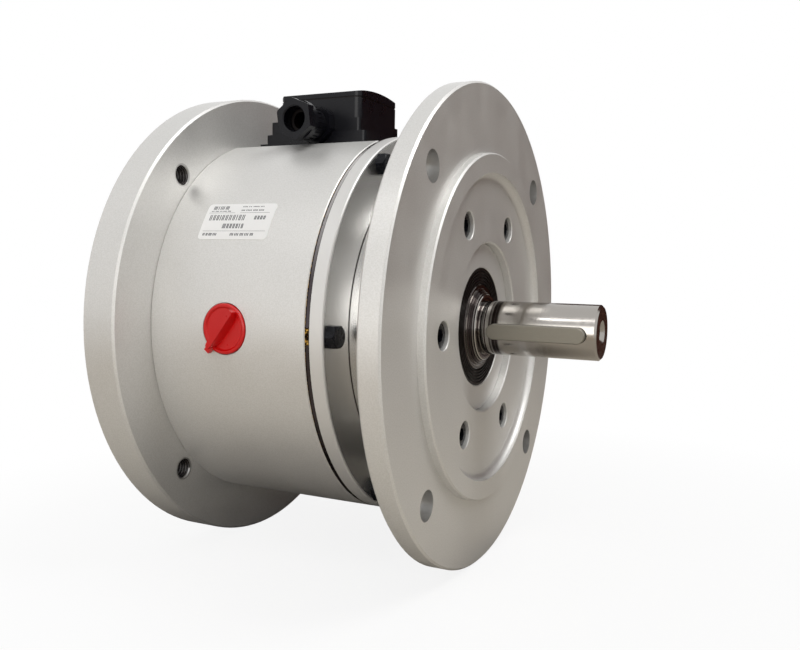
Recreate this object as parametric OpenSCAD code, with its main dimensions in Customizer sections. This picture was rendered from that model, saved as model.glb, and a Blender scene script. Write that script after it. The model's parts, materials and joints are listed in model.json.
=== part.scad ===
// Clutch brake unit between a motor and a machine. The shaft axis is X, +X towards the output shaft, +Z up.
// The origin is the middle of the output flange's mounting face. All lengths are in millimetres.

/* [Flanges and shaft] */
// Diameter of the bolt circle on both flanges
bolt_circle_d = 215; // [213:1:219]
// Distance from the bolt circle out to the rim of both flanges
flange_edge = 17.5; // [16:0.5:22]
// Number of fixing holes in each flange
bolt_count = 4; // [4:4:8]
// Diameter of the through holes in the output flange
bolt_hole_d = 14.5; // [12:0.5:16]
// Core diameter of the tapped holes in the input flange
tapped_hole_d = 10.2; // [8.5:0.1:12]
// Distance from the bolt circle in to the centring spigot and to the register it goes into
spigot_inset = 17.5; // [16:0.5:19]
// Height of the centring spigot
spigot_h = 4; // [3:0.5:5]
// Width of the spigot ring
spigot_w = 10; // [8:0.5:12]
// Fillet inside the spigot ring
spigot_fillet = 3.9; // [2:0.1:4]
// Thickness of the output flange plate
flange_t = 11; // [10:0.5:14]
// Thickness of the input flange plate
input_flange_t = 19.5; // [18:0.5:24]
// Depth of the register in the input flange
register_depth = 5; // [4:0.5:6]
// Bevel on the turned outer edges
edge_bevel = 1; // [0.4:0.1:1.5]
// Diameter of the output shaft and of the motor shaft's bore
shaft_d = 28; // [25:1:30]
// Length of the output shaft in front of the flange face
shaft_len = 60; // [57:1:70]
// Width of the keys and of the motor shaft's keyway
key_w = 8; // [6:1:10]
// Height of the keys
key_h = 7; // [6:0.5:8]
// Depth of the keyways in the shaft
key_seat = 4; // [3:0.5:5]
// Length of the output key
key_len = 50; // [40:1:52]
// Angle of the output key, turned from the top towards the near side
key_angle = 93; // [0:1:359]
// Core diameter of the tapped centre hole in the shaft end
shaft_tap_d = 8.5; // [6.8:0.1:10.2]
// Depth of the tapped centre hole
shaft_tap_depth = 22; // [16:1:26]

/* [Housing] */
// Outside diameter of housing, magnet rim and shield rim
housing_d = 200; // [198:1:202]
// Length of the housing
housing_len = 88.3; // [88:0.1:94]
// Wall of the middle of the housing
housing_wall = 10; // [9:0.5:12]
// Wall of the housing's end towards the motor
seat_wall = 21; // [20:0.5:22]
// Wall of the housing's end towards the shield
nose_wall = 19; // [18.5:0.1:20]
// Length of the thick end towards the motor
housing_seat_len = 20; // [18:0.5:23]
// Length of the thick end towards the shield
housing_nose_len = 15; // [14:0.5:17]
// Length of the cone between a thick end and the middle
housing_cone_len = 5; // [3:0.5:6]
// Depth of the flat pad for the terminal box below the housing's top
pad_cut = 4.8; // [3.5:0.1:6]
// Diameter of the lead hole under the terminal box
lead_hole_d = 14; // [10:0.5:16]

/* [End shield] */
// Thickness of the shield's rim
rim_t = 7; // [6:0.5:10]
// Distance from the hexagon bolts' circle in to the neck
spanner_room = 17; // [15:0.5:18.5]
// Length of the neck between rim and output flange
neck_len = 30; // [28:1:40]
// Diameter of the boss that centres the output flange
boss_d = 88; // [84:1:92]
// Distance of the boss face behind the flange face
boss_recess = 4; // [3:0.5:5]
// Distance from the rim in to the hexagon bolts' circle
shield_edge = 6.5; // [6:0.1:8]
// Number of hexagon bolts
shield_bolt_count = 6; // [3:1:8]
// Thread diameter of the hexagon bolts and of the inner screws
small_bolt_d = 6; // [5:0.5:6]
// Width across flats of the hexagon heads
hex_af = 10; // [8:0.5:11]
// Height of the hexagon heads
hex_head_h = 5; // [4:0.5:6]
// Length of the hexagon bolts under the head
hex_bolt_len = 22; // [20:1:24]
// Bolt circle of the output flange's socket screws
hub_circle_d = 120; // [118:1:122]
// Number of socket screws in the output flange
hub_screw_count = 6; // [3:1:8]
// Thread diameter of the socket screws
hub_screw_d = 8; // [6:0.5:8]
// Head diameter of the socket screws
hub_head_d = 13; // [11:0.5:13.5]
// Head height of the socket screws
hub_head_h = 5; // [4:0.5:6]
// Depth of the head's top below the flange face
hub_head_sink = 1.8; // [1:0.1:2.2]
// Length of the socket screws under the head
hub_screw_len = 20; // [14:1:22]

/* [Brake magnet] */
// Thickness of the magnet rim clamped between housing and shield
magnet_rim_t = 2.3; // [1.5:0.1:3]
// Thickness of the brass shim behind that rim
shim_t = 0.3; // [0.1:0.1:0.6]
// Width of the notch in the magnet rim
notch_w = 8; // [6:0.5:10]
// Depth of the notch
notch_depth = 2.6; // [1.5:0.1:2.6]
// Angle of the notch, turned from the top towards the near side
notch_angle = 90; // [86:1:94]
// Length of the brake magnet from its friction face to the shield
brake_len = 19.7; // [19:0.1:21]
// Bore of the brake magnet
brake_bore_d = 60; // [58:1:64]

/* [Clutch magnet] */
// Radial gap between the clutch magnet and the housing's thick end that it passes
clutch_gap = 3; // [2:0.5:5]
// Length of the clutch magnet
clutch_len = 26; // [24:0.5:27]
// Bore of the clutch magnet
clutch_bore_d = 76; // [74:1:78]
// Length of the boss inside the input flange that carries it
carrier_len = 16.9; // [16.5:0.1:18.5]
// Outside diameter of that boss
carrier_d = 106; // [104:1:108]
// Bolt circle of the clutch magnet's screws
magnet_circle_d = 91; // [90:0.5:93]
// Number of the clutch magnet's screws
magnet_screw_count = 4; // [3:1:6]
// Distance from the housing's seat out to the circle of its screws
body_screw_in = 4.5; // [4:0.5:5]
// Number of screws between input flange and housing
body_screw_count = 6; // [4:1:8]
// Width of the magnets' inner pole at the clutch magnet
inner_pole_w = 10.5; // [10:0.5:11.5]
// Width of the magnets' outer pole at the clutch magnet
outer_pole_w = 9.5; // [8.5:0.5:11]
// Depth of the coil windows
coil_depth = 15; // [12:0.5:15]
// Thickness of the friction linings
lining_t = 2; // [1.5:0.5:3]

/* [Rotor and armatures] */
// Running gap between rotor and clutch magnet
magnet_gap = 0.5; // [0.3:0.1:0.8]
// Air gap that each armature disc crosses
air_gap = 0.4; // [0.2:0.1:0.6]
// Thickness of the rotor disc
rotor_t = 10; // [9:0.5:11]
// Radial gap between rotor and armature discs and the housing's thick end that they pass
disc_gap = 4; // [3:0.5:6]
// Outside diameter of the rotor's hub behind the disc
rotor_hub_d = 64; // [60:1:68]
// Thickness of the armature discs
armature_t = 5; // [4:0.5:5.5]
// Bore of the armature discs
armature_bore_d = 88; // [86:1:90]
// Thickness of the leaf springs
spring_t = 1; // [0.6:0.1:1.2]
// Thickness of the hub flange between the leaf springs
hub_flange_t = 5; // [4:0.5:5.5]
// Outside diameter of the hub flange
hub_flange_d = 84; // [80:1:86]
// Outside diameter of the armature hub's sleeve
hub_d = 48; // [46:1:52]
// Length of the armature hub
hub_len = 19; // [17:0.5:20]
// Number of arms on each leaf spring
spring_arms = 3; // [3:1:4]
// Width of the leaf spring's arms
spring_arm_w = 14; // [10:1:16]

/* [Bearings and seal] */
// Diameter of the hollow shaft and of the output shaft at their main bearings
journal_d = 45; // [44:0.5:46]
// Outside diameter of the input bearing
input_bearing_d = 75; // [74:0.5:76]
// Width of the input bearing
input_bearing_w = 16; // [15:0.5:16]
// Thickness of the input bearing's rings behind the balls
input_race_w = 3; // [2.75:0.25:3.75]
// Number of balls in the input bearing
input_ball_count = 12; // [8:1:14]
// Outside diameter of the output bearing
output_bearing_d = 85; // [84:0.5:86]
// Width of the output bearing
output_bearing_w = 19; // [18:0.5:19]
// Thickness of the output bearing's rings behind the balls
output_race_w = 3.75; // [3.5:0.25:4.5]
// Number of balls in the output bearing
output_ball_count = 9; // [7:1:11]
// Bore of the pilot bearing
pilot_bore_d = 20; // [18:0.5:22]
// Outside diameter of the pilot bearing
pilot_bearing_d = 42; // [40:0.5:43]
// Width of the pilot bearing
pilot_bearing_w = 12; // [10:0.5:12.5]
// Thickness of the pilot bearing's rings behind the balls
pilot_race_w = 2.5; // [2.25:0.25:3]
// Number of balls in the pilot bearing
pilot_ball_count = 9; // [6:1:11]
// Outside diameter of the shaft seal
seal_d = 62; // [60:0.5:64]
// Width of the shaft seal
seal_w = 7; // [6:0.5:7.5]
// Thickness of the circlips
circlip_t = 1.8; // [1.2:0.1:2]

/* [Turning knob] */
// Distance of the knob's axis behind the flange face
knob_back = 94.5; // [92:0.5:97]
// Height of the knob's axis
knob_z = 1.3; // [0:0.1:3]
// Diameter of the knob's disc
knob_d = 24; // [22:0.5:26]
// Thickness of the knob's disc
knob_disc_t = 2.6; // [2:0.1:4]
// Depth of the pocket that the knob sits in
knob_sink = 3; // [2:0.1:3.2]
// Diameter of the knob's stem
knob_stem_d = 15.8; // [12:0.1:16]
// Height of the wing grip above the disc
wing_h = 3.9; // [3:0.1:6]
// Width of the wing grip at its middle
wing_w = 6; // [4:0.1:8]
// How far the pointer reaches past the disc
pointer_reach = 1.8; // [1:0.1:3]
// Direction of the wing grip above the shaft's direction
wing_angle = 52; // [0:1:180]
// Thickness of the knob's seal ring
knob_seal_t = 1; // [0.8:0.1:1.5]

/* [Terminal box] */
// Distance of the box's output end behind the flange face
box_end_back = 65.7; // [64:0.1:68]
// Length of the box body at its lid
box_len = 49.9; // [48:0.1:54]
// Width of the box body at its lid
box_w = 44.8; // [42:0.1:48]
// Height of the box body above the pad
box_body_h = 25.4; // [25:0.1:30]
// Height of the lid at its side edges
lid_edge_h = 2.4; // [2:0.1:4]
// Rise of the lid's crown above its side edges
lid_crown = 2.1; // [1:0.1:4]
// Wall thickness of box and lid
box_wall = 2.4; // [2:0.1:2.5]
// Thickness of the lid's rubber gasket
gasket_t = 0.8; // [0.5:0.1:1.5]
// Height of the foot plate
foot_h = 2; // [1.5:0.1:3]
// Height of the skirt above the pad
skirt_h = 6.8; // [5:0.1:8]
// Overhang of the skirt at both sides of the box body
skirt_out = 2.6; // [1:0.1:4]
// Overhang of the skirt at the output end
skirt_end = 4.6; // [1:0.1:6]
// Overhang of the foot plate past the skirt at the input end
foot_out = 4.6; // [2:0.1:6]
// Height of the shoulder above the pad
shoulder_h = 14; // [12:0.1:16]
// Overhang of the shoulder at the input end
shoulder_out = 6; // [4:0.1:7]
// Overhang of the shoulder at the far side
shoulder_side = 2; // [1:0.1:3]
// Distance of the gland's axis behind the flange face
gland_back = 90.5; // [88:0.1:93]
// Height of the gland's axis above the pad
gland_h = 10.8; // [10.5:0.1:12]
// Width across flats of the gland's hexagons
gland_af = 19; // [18:0.5:20]
// Thread diameter of the gland
gland_thread_d = 16; // [14:0.5:16]
// Diameter of the mouth in the gland nut
gland_mouth_d = 12.6; // [10:0.1:12.8]
// Bore of the gland's rubber seal
gland_seal_bore_d = 9; // [6:0.5:9.5]
// Distance from the axis plane to the gland nut's front face
gland_reach = 48; // [46:0.5:52]

/* [Rating label] */
// Length of the label along the housing
label_len = 40; // [30:1:44]
// Height of the label round the housing
label_h = 20.4; // [16:0.1:24]
// Distance of the label's middle behind the flange face
label_back = 98; // [94:1:102]
// Angle of the label's middle, turned from the top towards the near side
label_angle = 58.6; // [54:0.1:62]
// Thickness of the label
label_t = 0.15; // [0.1:0.05:0.3]

/* [Hidden] */
$fn = 96;

// Clearances
overcut = 1;           // how far a cutter runs past a face
seat_gap = 0.1;        // radial gap of located parts
screw_gap = 0.3;       // radial gap of a screw in its through hole
thread_gap = 0.05;     // radial gap of a screw in its tapped hole
ball_gap = 0.1;        // gap of the balls in race and cage
run_gap = 0.1;         // gap of the turning knob

// Diameters that follow from the driving sizes
flange_d = bolt_circle_d + 2 * flange_edge;
spigot_d = bolt_circle_d - 2 * spigot_inset;
spigot_bore_d = spigot_d - 2 * spigot_w;
housing_bore_d = housing_d - 2 * housing_wall;
housing_seat_d = housing_d - 2 * seat_wall;
nose_d = housing_d - 2 * nose_wall;
brake_d = nose_d - 2 * seat_gap;
shield_circle_d = housing_d - 2 * shield_edge;
neck_d = shield_circle_d - 2 * spanner_room;
body_circle_d = housing_seat_d + 2 * body_screw_in;
clutch_d = housing_seat_d - 2 * clutch_gap;
coil_in_d = clutch_bore_d + 2 * inner_pole_w;
coil_out_d = clutch_d - 2 * outer_pole_w;
disc_d = housing_seat_d - 2 * disc_gap;
input_ball_d = (input_bearing_d - journal_d) / 2 - 2 * input_race_w;
output_ball_d = (output_bearing_d - journal_d) / 2 - 2 * output_race_w;
pilot_ball_d = (pilot_bearing_d - pilot_bore_d) / 2 - 2 * pilot_race_w;
pad_z = housing_d / 2 - pad_cut;

// Planes across the shaft axis, from the flange face backwards
flange_back = -flange_t;
rim_front = flange_back - neck_len;
rim_back = rim_front - rim_t;
magnet_rim_back = rim_back - magnet_rim_t;
housing_front = magnet_rim_back - shim_t;
housing_back = housing_front - housing_len;
input_back = housing_back - input_flange_t;
register_floor = input_back + register_depth;
boss_front = -boss_recess;

// Colours
cast_colour = [0.76, 0.75, 0.72];
steel_colour = [0.66, 0.67, 0.69];
dark_colour = [0.13, 0.13, 0.14];
black_colour = [0.07, 0.07, 0.09];
brass_colour = [0.75, 0.6, 0.28];
copper_colour = [0.72, 0.4, 0.2];
lining_colour = [0.3, 0.26, 0.22];

// Places round the axis are angles from the top towards the near side
hub_screw_start = 30;
bolt_start = 45;

// Cylinder along the shaft axis, from one plane to another
module x_cyl(d, x0, x1, d2 = 0) {
  translate([x0, 0, 0]) rotate([0, 90, 0])
    if (d2 == 0) cylinder(d = d, h = x1 - x0);
    else cylinder(d1 = d, d2 = d2, h = x1 - x0);
}

// Tube along the shaft axis
module x_tube(d_out, d_in, x0, x1) {
  translate([x0, 0, 0]) rotate([0, 90, 0]) linear_extrude(height = x1 - x0) difference() {
    circle(d = d_out);
    circle(d = d_in);
  }
}

// Turned disc with a bevel at each end
module x_disc(d, x0, x1, bevel0, bevel1) {
  r = d / 2;
  rotate([0, 90, 0]) rotate_extrude()
    polygon([[0, x0], [r - bevel0, x0], [r, x0 + bevel0], [r, x1 - bevel1], [r - bevel1, x1], [0, x1]]);
}

// Copies on a circle round the shaft axis
module around(count, circle_d, start = 0) {
  for (i = [0:count - 1])
    rotate([start + i * 360 / count, 0, 0]) translate([0, 0, circle_d / 2]) children();
}

// Stadium outline between two points along x
module stadium(x0, x1, w) {
  translate([x0 + w / 2, -w / 2]) square([x1 - x0 - w, w]);
  for (x = [x0 + w / 2, x1 - w / 2]) translate([x, 0]) circle(d = w);
}

// Rectangle with round corners
module round_rect(x0, x1, y0, y1, r) {
  translate([x0 + r, y0]) square([x1 - x0 - 2 * r, y1 - y0]);
  translate([x0, y0 + r]) square([x1 - x0, y1 - y0 - 2 * r]);
  for (x = [x0 + r, x1 - r], y = [y0 + r, y1 - r]) translate([x, y]) circle(r = r);
}

// Frame whose z points out to the near side and whose y points up
module near_side(x, z) {
  translate([x, 0, z]) rotate([90, 0, 0]) children();
}

// Socket head screw along x, with the top of its head at x = 0 and its shank towards -x
module socket_screw(d, len, head_d, head_h) {
  socket_af = 0.75 * d;
  socket_depth = 0.55 * head_h;
  head_bevel = 0.05 * head_d;
  difference() {
    union() {
      x_disc(head_d, -head_h, 0, 0, head_bevel);
      x_cyl(d, -head_h - len, -head_h);
    }
    translate([-socket_depth, 0, 0]) rotate([0, 90, 0])
      cylinder(d = socket_af / cos(30), h = socket_depth + overcut, $fn = 6);
  }
}

// Deep groove bearing: mean diameter, race wall and shoulder heights follow from its sizes
function bearing_mean(bore, od) = (bore + od) / 2;
module bearing_ring(d_out, d_in, mean_d, ball_d, x0, w) {
  edge = 0.06 * w;
  rotate([0, 90, 0]) rotate_extrude() difference() {
    polygon([[d_in / 2, x0 + edge], [d_in / 2 + edge, x0], [d_out / 2 - edge, x0], [d_out / 2, x0 + edge],
             [d_out / 2, x0 + w - edge], [d_out / 2 - edge, x0 + w], [d_in / 2 + edge, x0 + w],
             [d_in / 2, x0 + w - edge]]);
    translate([mean_d / 2, x0 + w / 2]) circle(d = ball_d + 2 * ball_gap);
  }
}
module outer_ring(bore, od, w, ball_d, x0) {
  mean_d = bearing_mean(bore, od);
  bearing_ring(od, mean_d + shoulder_share * ball_d, mean_d, ball_d, x0, w);
}
module inner_ring(bore, od, w, ball_d, x0) {
  mean_d = bearing_mean(bore, od);
  bearing_ring(mean_d - shoulder_share * ball_d, bore, mean_d, ball_d, x0, w);
}
module ball_cage(bore, od, w, ball_d, ball_count, x0) {
  mean_d = bearing_mean(bore, od);
  cage_t = cage_share * ball_d;
  middle = x0 + w / 2;
  reach = ball_d / 2 + cage_rim;
  color(steel_colour) around(ball_count, mean_d) translate([middle, 0, 0]) sphere(d = ball_d);
  color(brass_colour) difference() {
    x_tube(mean_d + cage_t, mean_d - cage_t, middle - reach, middle + reach);
    around(ball_count, mean_d) translate([middle, 0, 0]) sphere(d = ball_d + 2 * ball_gap);
  }
}
shoulder_share = 0.55;  // race shoulders lie this share of a ball either side of the mean diameter
cage_share = 0.3;       // thickness of the cage as a share of a ball
cage_rim = 1.2;         // width of the cage past the balls

// Open ring in a groove, with its gap at the top
module circlip(d_out, d_in, x0, gap) {
  difference() {
    x_tube(d_out, d_in, x0, x0 + circlip_t);
    translate([x0 - overcut, -gap / 2, 0]) cube([circlip_t + 2 * overcut, gap, d_out]);
  }
}
clip_side = 0.2;        // side play of a circlip in its groove
clip_bite = 2;          // depth of a circlip's groove on the diameter
clip_rim = 4;           // how far a circlip stands proud, on the diameter
clip_open = 6;          // gap between the ends of a circlip

// Output side

hub_hole_d = boss_d + 2 * seat_gap;
head_room = 0.4;
hub_counterbore_d = hub_head_d + 2 * head_room;
sink_bevel = 0.4;
hub_seat_x = -hub_head_sink - hub_head_h;
hole_bevel = 0.6;

// Hole through a plate, with a bevel at either mouth
module bevelled_hole(d, x0, x1, bevel0, bevel1) {
  x_cyl(d, x0 - overcut, x1 + overcut);
  if (bevel0 > 0) x_cyl(d + 2 * bevel0, x0, x0 + bevel0, d);
  if (bevel1 > 0) x_cyl(d, x1 - bevel1, x1, d + 2 * bevel1);
}

spigot_bevel = 0.8;

module output_flange() {
  ring_in = spigot_bore_d / 2 - spigot_fillet;
  color(cast_colour) difference() {
    union() {
      x_disc(flange_d, flange_back, 0, edge_bevel, edge_bevel);
      rotate([0, 90, 0]) rotate_extrude() difference() {
        polygon([[ring_in, -edge_bevel], [spigot_d / 2, -edge_bevel], [spigot_d / 2, spigot_h - spigot_bevel],
                 [spigot_d / 2 - spigot_bevel, spigot_h], [ring_in, spigot_h]]);
        translate([ring_in, spigot_h]) circle(r = spigot_fillet);
      }
    }
    x_cyl(hub_hole_d, flange_back - overcut, overcut);
    x_cyl(hub_hole_d, -hole_bevel, 0, hub_hole_d + 2 * hole_bevel);
    around(bolt_count, bolt_circle_d, bolt_start) bevelled_hole(bolt_hole_d, flange_back, 0, hole_bevel, 0);
    around(hub_screw_count, hub_circle_d, hub_screw_start) {
      x_cyl(hub_screw_d + 2 * screw_gap, flange_back - overcut, overcut);
      x_cyl(hub_counterbore_d, hub_seat_x, overcut);
      x_cyl(hub_counterbore_d, -sink_bevel, 0, hub_counterbore_d + 2 * sink_bevel);
    }
  }
}

module output_flange_screws() {
  color(black_colour) around(hub_screw_count, hub_circle_d, hub_screw_start)
    translate([-hub_head_sink, 0, 0]) socket_screw(hub_screw_d, hub_screw_len, hub_head_d, hub_head_h);
}

// End shield, turned: rim, neck and boss outside, bearing seat and seal seat inside
seal_sink = 0.3;
seal_x = boss_front - seal_sink;
seal_back = seal_x - seal_w;
shaft_clip_x = seal_back - seal_sink - circlip_t;
bearing_front = shaft_clip_x - seat_gap;
bearing_back = bearing_front - output_bearing_w;
shield_clip_x = bearing_back - clip_side - circlip_t;
shield_mouth_d = 100;
shield_mouth_depth = 8;
hub_tap_depth = 20;
tap_floor = 2;
bearing_wall = 10;
neck_wall = 7;
relief_in_d = output_bearing_d + 2 * bearing_wall;
relief_out_d = neck_d - 2 * neck_wall;

module end_shield() {
  color(cast_colour) difference() {
    union() {
      x_disc(housing_d, rim_back, rim_front, 0, edge_bevel / 2);
      x_cyl(neck_d, rim_front - overcut, flange_back);
      x_disc(boss_d, flange_back - overcut, boss_front, 0, edge_bevel / 2);
    }
    x_cyl(seal_d, bearing_front - overcut, overcut);
    x_cyl(seal_d, boss_front - hole_bevel, boss_front, seal_d + 2 * hole_bevel);
    x_cyl(output_bearing_d, rim_back - overcut, bearing_front);
    x_cyl(output_bearing_d + clip_bite, shield_clip_x - clip_side, bearing_back);
    x_cyl(shield_mouth_d, rim_back - overcut, rim_back + shield_mouth_depth);
    x_tube(relief_out_d, relief_in_d, rim_back - overcut, flange_back - hub_tap_depth - tap_floor);
    around(shield_bolt_count, shield_circle_d, hub_screw_start)
      bevelled_hole(small_bolt_d + 2 * screw_gap, rim_back, rim_front, 0, hole_bevel);
    around(hub_screw_count, hub_circle_d, hub_screw_start)
      x_cyl(hub_screw_d + 2 * thread_gap, flange_back - hub_tap_depth, flange_back + overcut);
  }
}

// Hexagon bolts with a washer face, heads on the shield's rim
module shield_bolts() {
  face_t = 0.4;
  head_bevel = 0.9;
  tip_bevel = 0.8;
  corner_d = hex_af / cos(30);
  color(black_colour) around(shield_bolt_count, shield_circle_d, hub_screw_start)
    translate([rim_front, 0, 0]) {
      x_cyl(hex_af, 0, face_t);
      intersection() {
        translate([face_t, 0, 0]) rotate([0, 90, 0]) cylinder(d = corner_d, h = hex_head_h - face_t, $fn = 6);
        x_disc(corner_d, 0, hex_head_h, 0, head_bevel);
      }
      x_disc(small_bolt_d, -hex_bolt_len, 0, tip_bevel, 0);
    }
}

// Brake magnet: steel body with a coil window towards the motor and a thin rim between housing and shield
brake_face = rim_back - brake_len;
brake_window_x = brake_face + coil_depth;
notch_r = housing_d / 2 - notch_depth;
rim_drop = 0.3;
shim_drop = 0.5;

module brake_magnet() {
  color(dark_colour) difference() {
    union() {
      x_cyl(brake_d, brake_face, rim_back);
      x_cyl(housing_d - 2 * rim_drop, magnet_rim_back, rim_back);
    }
    x_cyl(brake_bore_d, brake_face - overcut, rim_back + overcut);
    x_tube(coil_out_d, coil_in_d, brake_face - overcut, brake_window_x);
    around(shield_bolt_count, shield_circle_d, hub_screw_start)
      x_cyl(small_bolt_d + 2 * screw_gap, magnet_rim_back - overcut, rim_back + overcut);
    rotate([notch_angle, 0, 0]) translate([magnet_rim_back - overcut, -notch_w / 2, notch_r])
      cube([magnet_rim_t + 2 * overcut, notch_w, notch_depth + overcut]);
    lead_exit(brake_lead_x, brake_d, coil_out_d);
  }
}

// Thin brass ring behind the magnet rim, with a folded tab at both ends of the notch
module brake_shim() {
  tab_w = 0.3 * notch_w;
  tab_x = 0.7 * magnet_rim_t;
  tab_y = (notch_w - tab_w) / 2 - seat_gap;
  color(brass_colour) {
    difference() {
      x_tube(housing_d - 2 * shim_drop, brake_d + 2 * seat_gap, housing_front, magnet_rim_back);
      around(shield_bolt_count, shield_circle_d, hub_screw_start)
        x_cyl(small_bolt_d + 2 * screw_gap, housing_front - overcut, magnet_rim_back + overcut);
    }
    rotate([notch_angle, 0, 0]) for (side = [-1, 1])
      translate([magnet_rim_back, side * tab_y - tab_w / 2, notch_r + seat_gap])
        cube([tab_x, tab_w, notch_depth - shim_drop - 2 * seat_gap]);
  }
}

// Coil that fills its window under the lining
module window_coil(x0, x1) {
  color(copper_colour) x_tube(coil_out_d - 2 * seat_gap, coil_in_d + 2 * seat_gap, x0, x1);
}
module window_lining(x0, x1) {
  color(lining_colour) x_tube(coil_out_d - 2 * seat_gap, coil_in_d + 2 * seat_gap, x0, x1);
}
module brake_coil() { window_coil(brake_face + lining_t, brake_window_x); }
module brake_lining() { window_lining(brake_face, brake_face + lining_t); }

// Housing

body_tap_depth = 14;
tap_runout = 3;
shield_tap_depth = hex_bolt_len - rim_t - magnet_rim_t - shim_t + tap_runout;
joint_bevel = 0.4;
knob_room = 0.4;
knob_face_r = housing_d / 2 - knob_sink;
knob_seat_d = knob_d + 2 * knob_room;
lead_x = -98;

module housing() {
  seat_r = housing_seat_d / 2;
  bore_r = housing_bore_d / 2;
  nose_r = nose_d / 2;
  r = housing_d / 2;
  seat_end = housing_back + housing_seat_len;
  nose_start = housing_front - housing_nose_len;
  color(cast_colour) difference() {
    rotate([0, 90, 0]) rotate_extrude()
      polygon([[seat_r, housing_back], [r - joint_bevel, housing_back], [r, housing_back + joint_bevel],
               [r, housing_front - joint_bevel], [r - joint_bevel, housing_front], [nose_r, housing_front],
               [nose_r, nose_start], [bore_r, nose_start - housing_cone_len],
               [bore_r, seat_end + housing_cone_len], [seat_r, seat_end]]);
    translate([housing_back - overcut, -r, pad_z]) cube([housing_len + 2 * overcut, 2 * r, r]);
    around(body_screw_count, body_circle_d)
      x_cyl(small_bolt_d + 2 * thread_gap, housing_back - overcut, housing_back + body_tap_depth);
    around(shield_bolt_count, shield_circle_d, hub_screw_start)
      x_cyl(small_bolt_d + 2 * thread_gap, housing_front - shield_tap_depth, housing_front + overcut);
    translate([lead_x, 0, 0]) cylinder(d = lead_hole_d, h = r);
    lead_slot();
    near_side(-knob_back, knob_z) {
      cylinder(d = knob_stem_d + 2 * run_gap, h = r);
      translate([0, 0, knob_face_r]) cylinder(d = knob_seat_d, h = r);
    }
    for (p = box_screw_at) translate(p) cylinder(d = box_screw_d + 2 * thread_gap, h = r);
  }
}

// Input side

bearing_lip = 4;
bearing_seat_x = register_floor + bearing_lip;
input_bearing_x = bearing_seat_x;
input_bearing_end = input_bearing_x + input_bearing_w;
flange_clip_x = input_bearing_end + clip_side;
carrier_end = housing_back + carrier_len;
shaft_pass_gap = 3.5;
shaft_pass_d = journal_d + 2 * shaft_pass_gap;
centring_len = 3;
counterbore_d = 11;
socket_head_d = 10;
socket_head_h = 6;
socket_head_sink = 0.5;
counterbore_depth = socket_head_h + socket_head_sink;
tap_bevel = 1.2;
body_screw_len = 20;

module sunk_hole(x1) {
  x_cyl(small_bolt_d + 2 * screw_gap, register_floor - overcut, x1 + overcut);
  x_cyl(counterbore_d, register_floor - overcut, register_floor + counterbore_depth);
}

module input_flange() {
  color(cast_colour) difference() {
    union() {
      x_disc(flange_d, input_back, housing_back, edge_bevel, edge_bevel);
      x_cyl(housing_seat_d - 2 * seat_gap, housing_back - overcut, housing_back + centring_len);
      x_disc(carrier_d, housing_back - overcut, carrier_end, 0, edge_bevel);
    }
    x_cyl(spigot_d, input_back - overcut, register_floor);
    x_cyl(spigot_d + 2 * hole_bevel, input_back, input_back + hole_bevel, spigot_d);
    x_cyl(shaft_pass_d, input_back, carrier_end + overcut);
    x_cyl(input_bearing_d, bearing_seat_x, carrier_end + overcut);
    x_cyl(input_bearing_d + clip_bite, input_bearing_end, flange_clip_x + circlip_t + clip_side);
    around(bolt_count, bolt_circle_d, bolt_start)
      bevelled_hole(tapped_hole_d, input_back, housing_back, 0, tap_bevel);
    around(body_screw_count, body_circle_d) sunk_hole(housing_back + centring_len);
    around(magnet_screw_count, magnet_circle_d, bolt_start) sunk_hole(carrier_end);
  }
}

module sunk_screw(len) {
  translate([register_floor + counterbore_depth - socket_head_h, 0, 0]) mirror([1, 0, 0])
    socket_screw(small_bolt_d, len, socket_head_d, socket_head_h);
}

module input_flange_screws() {
  color(black_colour) around(body_screw_count, body_circle_d) sunk_screw(body_screw_len);
}

// Clutch magnet: steel body fixed to the input flange's boss
clutch_face = carrier_end + clutch_len;
clutch_window_x = clutch_face - coil_depth - lining_t;
magnet_tap_depth = 7;
tip_gap = 1;
magnet_screw_len = carrier_end + magnet_tap_depth - tip_gap - register_floor - counterbore_depth;

module clutch_magnet() {
  color(dark_colour) difference() {
    x_disc(clutch_d, carrier_end, clutch_face, edge_bevel, edge_bevel);
    x_cyl(clutch_bore_d, carrier_end - overcut, clutch_face + overcut);
    x_tube(coil_out_d, coil_in_d, clutch_window_x, clutch_face + overcut);
    around(magnet_screw_count, magnet_circle_d, bolt_start)
      x_cyl(small_bolt_d + 2 * thread_gap, carrier_end - overcut, carrier_end + magnet_tap_depth);
    lead_exit(clutch_lead_x, clutch_d, coil_out_d);
  }
}

module clutch_coil() { window_coil(clutch_window_x, clutch_face); }

module clutch_magnet_screws() {
  color(black_colour) around(magnet_screw_count, magnet_circle_d, bolt_start) sunk_screw(magnet_screw_len);
}

// Input rotor: hollow shaft with the motor's bore and keyway, and the friction disc in front of the magnet
rotor_disc_back = clutch_face + magnet_gap;
rotor_face = rotor_disc_back + rotor_t;
rotor_inset = 1;
rotor_end = register_floor + rotor_inset;
rotor_shoulder_w = 4.5;
rotor_shoulder_d = journal_d + 2 * rotor_shoulder_w;
rotor_boss_h = 3;
pilot_front = rotor_face + rotor_boss_h;
pilot_back = pilot_front - pilot_bearing_w;
rotor_boss_wall = 7;
rotor_boss_d = pilot_bearing_d + 2 * rotor_boss_wall;
motor_key_h = 3.3;
rotor_clip_x = input_bearing_x - clip_side - circlip_t;
slot_count = 4;
slot_arc = 72;

slot_w = 7;

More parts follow.
